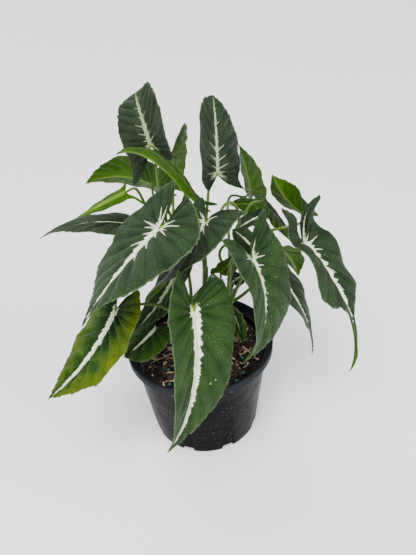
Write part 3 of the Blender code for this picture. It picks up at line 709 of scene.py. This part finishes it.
def stalk_section(share):
    """The same of a stalk, whose foot is a sheath: wider, paler and more deeply grooved."""
    sheath = max(0.0, 1.0 - share / SHEATH_SHARE)
    radius = STALK_FOOT_RADIUS * (1.0 + SHEATH_SWELL * sheath) * (1.0 - share) + STALK_END_RADIUS * share
    age = 1.0 - sheath if share > 0.02 else 0.5
    return radius, STALK_GROOVE + SHEATH_GROOVE * sheath, age


def add_tube(work, layer, line, section):
    """A round tube along a line, with the radius, upper groove and age of its section."""
    last = len(line) - 1
    across = None
    rings = []
    for index, place in enumerate(line):
        radius, groove, age = section(index / last)
        ahead = line[min(index + 1, last)] - line[max(index - 1, 0)]
        ahead.normalize()
        if across is None:
            across = ahead.cross(Vector((0.0, 0.0, 1.0)))
            if across.length < UPRIGHT:
                across = ahead.cross(Vector((0.0, 1.0, 0.0)))
        across = (across - ahead * across.dot(ahead)).normalized()
        over = across.cross(ahead)
        ring = []
        for side in range(TUBE_SIDES):
            angle = math.tau * side / TUBE_SIDES
            past = math.remainder(angle - 0.5 * math.pi, math.tau) / GROOVE_WIDTH
            reach = radius * (1.0 - groove * math.exp(-past ** 2))
            point = work.verts.new(place + (across * math.cos(angle) + over * math.sin(angle)) * reach)
            point[layer] = age
            ring.append(point)
        rings.append(ring)
    for near, far in zip(rings[:-1], rings[1:]):
        join_rings(work, near, far)
    work.faces.new(rings[0][::-1])
    work.faces.new(rings[-1])


stalk = Finish("fresh_stalk", {"Specular IOR Level": 0.35}, STALK_GREENS[0])
spot = stalk.place()
age = stalk.node("ShaderNodeAttribute", {}, output=2, attribute_name="age")
fleck = stalk.clouds(spot, 500.0, 3.0, 0.6)
stalk.coat(STALK_GREENS[1], stalk.span(stalk.clouds(spot, 50.0, 2.0), 0.35, 0.65))
stalk.coat(STALK_FLECK, stalk.span(fleck, 0.50, 0.75, 0.0, 0.35))
stalk.coat(SHEATH_PALE, stalk.span(age, 0.0, 0.5, 0.9, 0.0))
stalk.coat(STEM_BROWN, stalk.span(age, 1.0, 2.0))
fresh_stalk = stalk.finished(stalk.span(fleck, 0.3, 0.7, 0.36, 0.52), [(fleck, 0.00015)])

for stem in STEMS:
    work = bmesh.new()
    layer = work.verts.layers.float.new("age")
    add_tube(work, layer, smooth_route(stem_line(stem), STEM_RINGS), stem_section)
    for plan in LEAVES.values():
        if plan["stem"] == stem:
            add_tube(work, layer, stalk_line(plan), stalk_section)
    bmesh.ops.recalc_face_normals(work, faces=work.faces)
    plantlet = smooth_object("stalks_" + stem, work, [fresh_stalk])
    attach(plantlet, "root")
    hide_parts("plantlet_" + stem)

# The leaf blades
# Twenty-six thin arrowhead blades, each grown from its junction with a stalk. A velvety dark green
# upper side with a cream midrib that frays along the side veins lies over a bright, smoother underside.
SMALL_LEAF = 50.0 * MM
EDGE = ((0.20, 1.0), (0.52, 0.90), (0.74, 0.56), (0.90, 0.22))
HANG = (-10, -10)
HANG_REACH = 1.3
FAN_SHARE = 0.55
BOW_ROWS = 0.15
VEIN_LEAN = 1.6
RIB_TAPER = 0.7
PINCH_REACH = 0.22
SPINE_STEPS = 12
MARGIN_WAVE = (0.8, 2.6)
WAVE_SHIFT = 0.7
SKIN = 0.22 * MM
BLADE = 0.42 * MM
RIB_DEPTH = 1.15 * MM
QUILT = 2.00 * MM
QUILT_ROUNDNESS = 1.3
QUILT_FULL_GAP = 7.0 * MM
QUILT_FULL_REACH = 8.0 * MM
QUILT_FULL_WIDTH = 30.0 * MM
CREASE_MM = 4.5
CREASE_SHARE = 0.15
CRINKLE = 0.50 * MM
CRINKLES_PER_METRE = 170.0
NIBBLE = 0.042
NIBBLES_PER_METRE = 360.0
TROUGH_DEPTH = 0.45 * MM
TROUGH_WIDTH = 1.6 * MM
RIB_WIDTH = 1.3 * MM
SIDE_RIB = 0.22
SIDE_RIB_WIDTH = 0.7 * MM
MAP_SCALE = 10.0
MAP_TO_MM = 1.0 / (MAP_SCALE * MM)
VELVET_GLOSS = 0.10
FRESH_GLOSS_LOSS = 0.6
TOOTH_DEPTH = 0.34
TEETH_FULL_STRIPE = 4.0

# Side veins, rows to each vein, and steps from midrib to margin.
LARGE_MESH = (16, 6, 16)
SMALL_MESH = (10, 5, 10)

# Greens of a settled leaf and of a fresh one, each from its dark drifts to its light ones.
SETTLED_DARK = (0.0060, 0.0120, 0.0058)
SETTLED_LIGHT = (0.0172, 0.0288, 0.0152)
FRESH_DARK = (0.0065, 0.0270, 0.0015)
FRESH_LIGHT = (0.0260, 0.0800, 0.0070)
TIP_GREEN = (0.0180, 0.0580, 0.0040)
YELLOWING = (0.0820, 0.1120, 0.0000)
CREAM = (0.86, 0.91, 0.70)
GREENISH_CREAM = (0.20, 0.27, 0.14)
STRIPE_CORE = (0.30, 0.42, 0.16)
MARGIN_PALE = (0.085, 0.130, 0.060)
SPOT_COLOURS = ((0.26, 0.32, 0.05), (0.075, 0.026, 0.014))
UNDER_DARK = (0.0120, 0.0440, 0.0004)
UNDER_LIGHT = (0.0330, 0.0900, 0.0010)
UNDER_NET = (0.0550, 0.1350, 0.0060)
UNDER_RIB = (0.1300, 0.2300, 0.0120)


def between(first, second, share):
    """A colour part of the way from one to another."""
    return tuple(start + (end - start) * share for start, end in zip(first, second))


def of_half(pair, side):
    """The left half's value of a pair where side is 1, the right half's where it is -1."""
    return pair[0] if side > 0 else pair[1]


def half_outline(plan, rows):
    """Margin of one half, from the junction around the rear lobe to the tip, as (along, across)."""
    length = plan["length"] * MM
    wide = plan["half_width"] * MM
    back, spread = (value * MM for value in plan["lobe"])
    corners = [
        (0.0, 0.0),
        (-0.50 * back, 0.30 * spread),
        (-0.90 * back, 0.68 * spread),
        (-back, spread),
        (-0.66 * back, 0.40 * spread + 0.58 * wide),
        (-0.05 * back, 0.98 * wide),
    ]
    corners += [(share * length, reach * wide) for share, reach in plan.get("edge", EDGE)]
    points = [Vector(corner) for corner in corners + [(length, 0.0)]]
    spans = len(points) - 1
    points = [2.0 * points[0] - points[1]] + points + [2.0 * points[-1] - points[-2]]
    line = []
    for row in range(rows + 1):
        place = min(spans * row / rows, spans - 1e-9)
        index = int(place)
        t = place - index
        a, b, c, d = points[index:index + 4]
        line.append(0.5 * (2.0 * b + (c - a) * t + (2.0 * a - 5.0 * b + 4.0 * c - d) * t ** 2
                           + (3.0 * b - a - 3.0 * c + d) * t ** 3))
    return line


def spine_place(plan, along, side):
    """Where the bent midrib, or a rear lobe's axis, has got to at a distance, and its sides there."""
    length = plan["length"] * MM
    droop, sweep, twist = plan["bend"]
    hang = of_half(plan.get("hang", HANG), side)
    back = plan["lobe"][0] * MM

    def direction(place):
        if place > 0.0:
            pitch = math.radians(droop * place / length)
            yaw = math.radians(sweep * place / length)
        else:
            pitch = -math.radians(hang * min(-place / back, HANG_REACH))
            yaw = 0.0
        level = math.cos(pitch)
        return Vector((math.cos(yaw) * level, math.sin(yaw) * level, math.sin(pitch))), yaw

    spot = Vector((0.0, 0.0, 0.0))
    for step in range(SPINE_STEPS):
        spot += direction(along * (step + 0.5) / SPINE_STEPS)[0] * along / SPINE_STEPS
    forward, yaw = direction(along)
    left = Vector((-math.sin(yaw), math.cos(yaw), 0.0))
    up = forward.cross(left)
    turn = math.radians(twist * min(max(along / length, 0.0), 1.0))
    return spot, left * math.cos(turn) + up * math.sin(turn), up * math.cos(turn) - left * math.sin(turn)


def blade_point(plan, axes, along, across, side, lift):
    """A point of the bent blade, lifted off its middle surface; side is 1 on the left, -1 on the right."""
    spot, left, up = spine_place(plan, along, side)
    length = plan["length"] * MM
    fold = of_half(plan["fold"], side)
    curl = of_half(plan["curl"], side)
    pinch = of_half(plan.get("pinch", (0, 0)), side)
    depth, count = plan.get("wave", MARGIN_WAVE)
    reach = across / (plan["half_width"] * MM)
    past = max(along, 0.0) / (PINCH_REACH * length)
    crease = plan.get("crease", min(CREASE_MM, CREASE_SHARE * plan["half_width"])) * MM
    rounding = across / math.hypot(across, crease)
    rise = math.radians(fold + 0.5 * curl * reach + pinch * math.exp(-past ** 2)) * rounding
    ripple = depth * MM * reach ** 2 * math.sin(math.tau * count * along / length + WAVE_SHIFT * side)
    spot = spot + left * side * across * math.cos(rise) + up * (across * math.sin(rise) + ripple)
    spot += (up * math.cos(rise) - left * side * math.sin(rise)) * lift
    return Vector(plan["junction"]) * MM + axes @ spot


def vein_line(start, edge, share, bow):
    """A place on a side vein of the flat blade: it leaves the midrib aslant and sweeps on to the tip."""
    middle = (start + (0.5 - 0.14 * bow) * (edge[0] - start), (0.5 + 0.08 * bow) * edge[1])
    near = (1.0 - share) ** 2
    half = 2.0 * share * (1.0 - share)
    far = share ** 2
    return near * start + half * middle[0] + far * edge[0], half * middle[1] + far * edge[1]


def build_blade(name, plan, finishes, seed):
    """The blade as a fine quilted sheet with its maps, thickened towards its ribs on the underside."""
    length = plan["length"] * MM
    veins, per_vein, steps = SMALL_MESH if length < SMALL_LEAF else LARGE_MESH
    rows = veins * per_vein
    outline = half_outline(plan, rows)
    fan = round(rows * FAN_SHARE)
    bulge = QUILT * min(plan["half_width"] * MM / QUILT_FULL_WIDTH, 1.0)
    starts = [length * max(0.0, (row - fan) / (rows - fan)) ** VEIN_LEAN for row in range(rows + 1)]
    axes = leaf_frame(plan)
    work = bmesh.new()
    map_layer = work.loops.layers.uv.new("BladeMap")
    place_layer = work.loops.layers.uv.new("BladePlace")
    vein_layer = work.loops.layers.uv.new("BladeVein")
    weight_layer = work.verts.layers.deform.new()
    facts = {}  # What the maps say of a point, for each side and row that it is on

    def flat(row, share):
        bow = min(max((row - fan) / (BOW_ROWS * rows), 0.0), 1.0)
        return vein_line(starts[row], outline[row], share, bow)

    def make_point(row, step, side):
        share = step / steps
        along, across = flat(row, share)
        low = flat(max(row - 1, 0), share)
        high = flat(min(row + 1, rows), share)
        gap = math.hypot(high[0] - low[0], high[1] - low[1]) * 0.5 * per_vein
        phase = row / per_vein
        offset = abs(phase - round(phase))
        quilt = bulge * math.sin(math.pi * offset) ** QUILT_ROUNDNESS * (1.0 - share ** 4)
        quilt *= min(gap / QUILT_FULL_GAP, across / QUILT_FULL_REACH, 1.0)
        rumple = noise.noise(Vector((along, across * side, seed * 0.1)) * CRINKLES_PER_METRE)
        trough = TROUGH_DEPTH * math.exp(-(across / TROUGH_WIDTH) ** 2)
        lift = SKIN + quilt + CRINKLE * share ** 5 * rumple - trough
        tooth = noise.noise(Vector((along * NIBBLES_PER_METRE, across * NIBBLES_PER_METRE, seed + side)))
        inward = 1.0 - NIBBLE * share ** 8 * (0.5 + tooth)
        point = work.verts.new(blade_point(plan, axes, along * inward, across * inward, side, lift))
        rib = max(0.0, 1.0 - max(along, 0.0) / length) ** RIB_TAPER * math.exp(-(across / RIB_WIDTH) ** 2)
        minor = 0.0
        if share > 0.0:
            minor = SIDE_RIB * math.exp(-(offset * gap / SIDE_RIB_WIDTH) ** 2) * (1.0 - share)
        point[weight_layer][0] = min(1.0, (BLADE + (RIB_DEPTH - BLADE) * max(rib, minor)) / RIB_DEPTH)
        facts[point, side, row] = (share, phase, across * side, along, offset * gap)
        return point

    spine = {}
    for row in range(rows + 1):
        shared = row > 0 and starts[row] == 0.0
        spine[row] = spine[0] if shared else make_point(row, 0, 1)
    for side in (1, -1):
        lines = []
        for row in range(1, rows):
            line = [spine[row]] + [make_point(row, step, side) for step in range(1, steps + 1)]
            facts[spine[row], side, row] = (0.0, row / per_vein, 0.0, starts[row], 0.0)
            lines.append((row, line))
        facts[spine[rows], side, rows] = (0.0, float(veins), 0.0, length, 0.0)
        lines.append((rows, [spine[rows]] * (steps + 1)))
        for (row, near), (next_row, far) in zip(lines[:-1], lines[1:]):
            for step in range(steps):
                points = []
                for point, owner in ((near[step], row), (far[step], next_row),
                                     (far[step + 1], next_row), (near[step + 1], row)):
                    if all(point is not kept for kept, kept_row in points):
                        points.append((point, owner))
                if len(points) < 3:
                    continue
                if side < 0:
                    points = points[::-1]
                face = work.faces.new([point for point, owner in points])
                for loop, (point, owner) in zip(face.loops, points):
                    share, phase, across, along, offset = facts[point, side, owner]
                    loop[map_layer].uv = (share, phase)
                    loop[place_layer].uv = (across * MAP_SCALE, along * MAP_SCALE)
                    loop[vein_layer].uv = (offset * MAP_SCALE, along / length)
    blade = smooth_object("blade_" + name, work, finishes)
    blade.vertex_groups.new(name="rib")
    thick = blade.modifiers.new("Thickness", "SOLIDIFY")
    thick.thickness = RIB_DEPTH
    thick.offset = -1.0
    thick.vertex_group = "rib"
    thick.thickness_vertex_group = 0.0
    thick.material_offset = 1
    thick.material_offset_rim = 0
    settled = settled_mesh(blade)
    blade.modifiers.clear()
    for point in settled.vertices:
        point.co = [min(max(value, low), high) for value, low, high in zip(point.co, *cad_box)]
    blade.data = settled
    blade.vertex_groups.clear()
    return blade


class BladeFinish(Finish):
    """One side of a blade, laid out by the blade's own maps and shifted from leaf to leaf.

    share runs from midrib to margin, reach from junction to tip, and vein counts the side veins.
    side and across, along, and gap are millimetres from the midrib, from the junction and from the
    nearest side vein. net is a fine net of lines, and threads run between the side veins.
    """

    def __init__(self, name, sockets, paint, shift):
        super().__init__(name, sockets, paint)
        self.share, self.vein = self.map_values("BladeMap")
        self.side, self.along = (self.times(value, MAP_TO_MM) for value in self.map_values("BladePlace"))
        gap, self.reach = self.map_values("BladeVein")
        self.gap = self.times(gap, MAP_TO_MM)
        self.across = self.sum("ABSOLUTE", self.side)
        spot = self.node("ShaderNodeUVMap", {}, uv_map="BladePlace")
        self.shifted = self.node("ShaderNodeMapping", {0: spot, 1: shift})
        cells = self.node("ShaderNodeTexVoronoi", {"Vector": self.shifted, "Scale": 42.0},
                          feature="DISTANCE_TO_EDGE")
        self.net = self.span(cells, 0.02, 0.10, 1.0, 0.0)
        wander = self.times(self.clouds(self.shifted, 22.0), 1.6)
        line = self.sum("PINGPONG", self.sum("MULTIPLY_ADD", self.vein, 4.0, wander), 0.5)
        self.threads = self.times(self.span(line, 0.0, 0.22, 1.0, 0.0), self.span(self.share, 0.10, 0.40))

    def map_values(self, name):
        """The two values that one of the blade's maps holds."""
        spot = self.node("ShaderNodeUVMap", {}, uv_map=name)
        return [self.node("ShaderNodeSeparateXYZ", {0: spot}, output=index) for index in (0, 1)]


def upper_finish(name, plan, seed):
    """Velvet green with a frayed cream stripe, pale strokes on the side veins and a pale thin margin."""
    half, end, arms, fresh, yellow = plan["look"]
    dark = between(SETTLED_DARK, FRESH_DARK, fresh)
    light = between(SETTLED_LIGHT, FRESH_LIGHT, fresh)
    leaf = BladeFinish("velvet_" + name, {
        "Specular IOR Level": VELVET_GLOSS * (1.0 - FRESH_GLOSS_LOSS * fresh), "Sheen Weight": 0.012,
        "Sheen Roughness": 0.45, "Sheen Tint": (0.80, 0.95, 0.85, 1.0)}, dark, (seed * 3.7, seed * 1.9, 0.0))

    # Greens: broad drifts, painted highlights on the quilting between the veins with painted shade along the
    # veins, a fine net, velvet grain and painted sheen sparkles
    drift = leaf.clouds(leaf.shifted, 5.0, 3.0, 0.55)
    grain = leaf.clouds(leaf.shifted, 330.0, 2.0, 0.6)
    leaf.coat(light, leaf.span(drift, 0.33, 0.67))
    leaf.coat(TIP_GREEN, leaf.span(leaf.reach, 0.45, 1.0, 0.0, 0.20 + 0.50 * fresh))
    # Painted highlight: the quilted pillows between the side veins are lighter, with painted shade towards
    # the veins.
    leaf.coat(light, leaf.span(leaf.sum("PINGPONG", leaf.vein, 0.5), 0.08, 0.42), 0.50)
    leaf.coat(dark, leaf.threads, 0.30)
    leaf.coat(dark, leaf.net, 0.20)
    # Painted shade: darker in the grooves along the side veins.
    leaf.coat(dark, leaf.span(leaf.gap, 0.15, 0.70, 0.30, 0.0))
    leaf.coat(between(light, CREAM, 0.10), leaf.span(grain, 0.55, 0.80, 0.0, 0.12))
    # Pale flecks in the lighter drifts: painted sparkles of the velvet's sheen.
    sheen_sparkle = leaf.span(leaf.clouds(leaf.shifted, 85.0, 2.0, 0.6), 0.66, 0.70, 0.0, 0.80)
    leaf.coat(between(light, CREAM, 0.30), leaf.times(sheen_sparkle, leaf.span(drift, 0.42, 0.55)))
    if yellow > 0.0:
        blotch = leaf.span(leaf.clouds(leaf.shifted, 9.0, 3.0, 0.6), 0.30, 0.70, -0.25, 0.25)
        outward = leaf.sum("ADD", leaf.share, blotch)
        heart = between((0.0, 0.0, 0.0), dark, 0.8)
        leaf.coat(heart, leaf.span(outward, 0.10, 0.62, 0.85, 0.0))
        leaf.coat(YELLOWING, leaf.span(outward, 0.48, 1.08), yellow)

    # The stripe: its edge is torn into teeth that lean towards the tip
    lean = leaf.sum("SUBTRACT", leaf.along, leaf.times(leaf.across, 0.9))
    flip = leaf.times(leaf.sum("SIGN", leaf.side), 31.0 + seed)
    wander = leaf.node("ShaderNodeTexNoise", {"W": leaf.sum("ADD", lean, flip), "Scale": 0.22, "Detail": 3.0},
                       noise_dimensions="1D")
    tooth = leaf.sum("FRACT", leaf.sum("MULTIPLY_ADD", lean, 0.33, leaf.times(wander, 4.0)))
    body = leaf.times(leaf.sum("POWER", leaf.span(leaf.reach, 0.0, end, 1.0, 0.0), 0.55), half)
    torn = leaf.sum("MULTIPLY_ADD", tooth, TOOTH_DEPTH * min(TEETH_FULL_STRIPE / half, 1.0), 0.52)
    torn = leaf.sum("ADD", torn, leaf.span(wander, 0.35, 0.65, -0.14, 0.35))
    stripe = leaf.span(leaf.sum("SUBTRACT", leaf.times(body, torn), leaf.across), -0.10, 0.22)
    stripe = leaf.times(stripe, leaf.span(leaf.along, -1.4 * half, -0.2 * half))
    stripe = leaf.times(stripe, leaf.sum("LESS_THAN", leaf.reach, end))

    # Arms: white that runs out along the side veins, longest round the junction
    number = leaf.sum("ADD", leaf.sum("ROUND", leaf.vein), flip)
    chance = leaf.node("ShaderNodeTexWhiteNoise", {"W": number}, noise_dimensions="1D")
    far = leaf.times(leaf.span(leaf.reach, 0.0, 0.50, 1.0, 0.10 + 0.70 * arms), arms)
    far = leaf.sum("MAXIMUM", leaf.times(far, leaf.span(chance, 0.0, 1.0, 0.25, 1.0)), 0.01)
    left_over = leaf.span(leaf.sum("DIVIDE", leaf.share, far), 0.0, 1.0, 1.0, 0.0)
    rough_edge = leaf.span(leaf.clouds(leaf.shifted, 90.0, 2.0, 0.7), 0.35, 0.65, 0.35, 1.35)
    stroke = leaf.times(leaf.times(leaf.sum("POWER", left_over, 0.6), rough_edge), 0.60 * half ** 0.5)
    arm = leaf.span(leaf.sum("SUBTRACT", stroke, leaf.gap), 0.0, 0.25)
    white = leaf.sum("MAXIMUM", stripe, arm)
    mottle = leaf.span(leaf.clouds(leaf.shifted, 60.0, 3.0), 0.35, 0.65, 0.0, 0.30)
    cream = leaf.blend(mottle, between(GREENISH_CREAM, CREAM, plan.get("stripe", 1.0)), GREENISH_CREAM)
    leaf.coat(leaf.blend(leaf.span(leaf.across, 0.20, 0.60, 0.65, 0.0), cream, STRIPE_CORE), white)

    # Blemishes and the pale margin
    for spot_along, spot_side, radius, kind in plan.get("spots", ()):
        over = leaf.sum("POWER", leaf.sum("SUBTRACT", leaf.side, spot_side), 2.0)
        ahead = leaf.sum("POWER", leaf.sum("SUBTRACT", leaf.along, spot_along), 2.0)
        away = leaf.sum("SQRT", leaf.sum("ADD", over, ahead))
        leaf.coat(SPOT_COLOURS[kind], leaf.span(away, 0.6 * radius, radius, 1.0, 0.0))
    leaf.coat(MARGIN_PALE, leaf.span(leaf.share, 0.965, 0.985, 0.0, 0.60))
    return leaf.finished(leaf.span(grain, 0.3, 0.7, 0.38, 0.56), [
        (leaf.span(leaf.gap, 0.0, 0.9), 0.00030), (leaf.threads, -0.00025), (leaf.net, -0.00010),
        (grain, 0.00007), (white, -0.00004)])


def under_finish(name, plan, seed):
    """Smooth bright green with paler raised ribs and a fine paler net."""
    yellow = plan["look"][4]
    # thin lightens the underside's greens: painted light shining through the blade.
    thin = plan.get("thin", 0.0)
    dark = between(UNDER_DARK, UNDER_NET, thin)
    leaf = BladeFinish("underside_" + name, {"Specular IOR Level": 0.12}, dark, (seed * 2.3, seed * 4.1, 0.0))
    drift = leaf.clouds(leaf.shifted, 6.0, 3.0, 0.55)
    leaf.coat(between(UNDER_LIGHT, UNDER_RIB, thin), leaf.span(drift, 0.33, 0.67))
    leaf.coat(UNDER_NET, leaf.net, 0.25)
    leaf.coat(UNDER_NET, leaf.threads, 0.25)
    leaf.coat(UNDER_NET, leaf.span(leaf.gap, 0.15, 0.75, 0.60, 0.0))
    rib = leaf.span(leaf.across, 0.5, 1.5, 0.85, 0.0)
    leaf.coat(UNDER_RIB, leaf.times(rib, leaf.span(leaf.reach, 0.5, 1.0, 1.0, 0.3)))
    leaf.coat(YELLOWING, leaf.span(leaf.reach, 0.90, 1.0, 0.0, 0.8 * yellow))
    leaf.coat(UNDER_NET, leaf.span(leaf.share, 0.95, 0.99, 0.0, 0.45))
    return leaf.finished(leaf.span(drift, 0.3, 0.7, 0.38, 0.52), [
        (leaf.span(leaf.gap, 0.0, 0.9), -0.00030), (leaf.threads, 0.00012), (leaf.net, 0.00010),
        (leaf.clouds(leaf.shifted, 260.0), 0.00005)])


for seed, (name, plan) in enumerate(LEAVES.items()):
    finishes = [upper_finish(name, plan, seed), under_finish(name, plan, seed)]
    blade = build_blade(name, plan, finishes, seed)
    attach(blade, "root")
    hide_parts("leaf_" + name)

# The floor, the light and the view
# A plain white floor that sweeps up all round, a broad soft lamp high in front, weaker ones at the
# right and behind, and an even pale sky. The camera looks down at the front of the pot, tipped a
# little: its place and lens fit the pot's rim, wall and foot.
FLOOR_WHITES = ((0.91, 0.91, 0.91), (0.94, 0.94, 0.94))
FLOOR_DROP = 0.5 * MM
SWEEP_FLAT = 1.3
SWEEP_RISE = 3.5
SWEEP_SIDES = 96
SWEEP_END = 60
SWEEP_STEP = 5
LAMP_AIM = Vector((0.0, 0.0, 0.15))
LAMPS = {
    "key": ((-0.50, -1.70, 3.00), 1.7, 200.0),
    "fill": ((2.4, -1.6, 2.1), 1.8, 60.0),
    "back": ((-0.9, 2.4, 2.3), 1.6, 45.0),
}
SKY_STRENGTH = 0.55
VIEW_ELEVATION = math.radians(36.0)
VIEW_ROLL = math.radians(-4.4)
VIEW_DISTANCE = 573.0 * MM
VIEW_TARGET = Vector((11.6, 0.0, 162.5)) * MM
FOCAL_PIXELS = 688.0
LONG_SIDE_PIXELS = 555.0
SENSOR = 36.0

studio = Finish("white_floor", {"Roughness": 0.9, "Specular IOR Level": 0.1}, FLOOR_WHITES[0])
studio.coat(FLOOR_WHITES[1], studio.clouds(studio.place(), 3.0))
rings = [(SWEEP_FLAT * share, 0.0) for share in (0.25, 0.5, 0.75, 1.0)]
for turn in range(SWEEP_STEP, SWEEP_END + 1, SWEEP_STEP):
    angle = math.radians(turn)
    rings.append((SWEEP_FLAT + SWEEP_RISE * math.sin(angle), SWEEP_RISE * (1.0 - math.cos(angle))))
angles = [math.tau * index / SWEEP_SIDES for index in range(SWEEP_SIDES)]
work = bmesh.new()
for number, (radius, height) in enumerate(rings):
    z = height - FLOOR_DROP
    outer = [work.verts.new((radius * math.cos(angle), radius * math.sin(angle), z)) for angle in angles]
    if number == 0:
        work.faces.new(outer)
    else:
        join_rings(work, outer, inner)
    inner = outer
smooth_object("white_floor", work, [studio.finished()])

for name, (place, size, power) in LAMPS.items():
    lamp = bpy.data.lights.new(name, "AREA")
    lamp.size = size
    lamp.energy = power
    holder = bpy.data.objects.new(name, lamp)
    holder.location = place
    holder.rotation_euler = (LAMP_AIM - Vector(place)).to_track_quat("-Z", "Y").to_euler()
    bpy.context.scene.collection.objects.link(holder)
sky = bpy.data.worlds.new("pale_sky")
sky.use_nodes = True
sky.node_tree.nodes["Background"].inputs["Color"].default_value = (1.0, 1.0, 1.0, 1.0)
sky.node_tree.nodes["Background"].inputs["Strength"].default_value = SKY_STRENGTH
bpy.context.scene.world = sky

look = Vector((0.0, math.cos(VIEW_ELEVATION), -math.sin(VIEW_ELEVATION)))
level = Vector((1.0, 0.0, 0.0))
upright = level.cross(look)
right = level * math.cos(VIEW_ROLL) + upright * math.sin(VIEW_ROLL)
above = upright * math.cos(VIEW_ROLL) - level * math.sin(VIEW_ROLL)
lens = bpy.data.cameras.new("view")
lens.sensor_width = SENSOR
lens.lens = SENSOR * FOCAL_PIXELS / LONG_SIDE_PIXELS
lens.clip_start = 0.01
camera = bpy.data.objects.new("view", lens)
camera.matrix_world = Matrix.Translation(VIEW_TARGET - look * VIEW_DISTANCE) @ Matrix(
    (right, above, -look)).transposed().to_4x4()
bpy.context.scene.collection.objects.link(camera)
bpy.context.scene.camera = camera
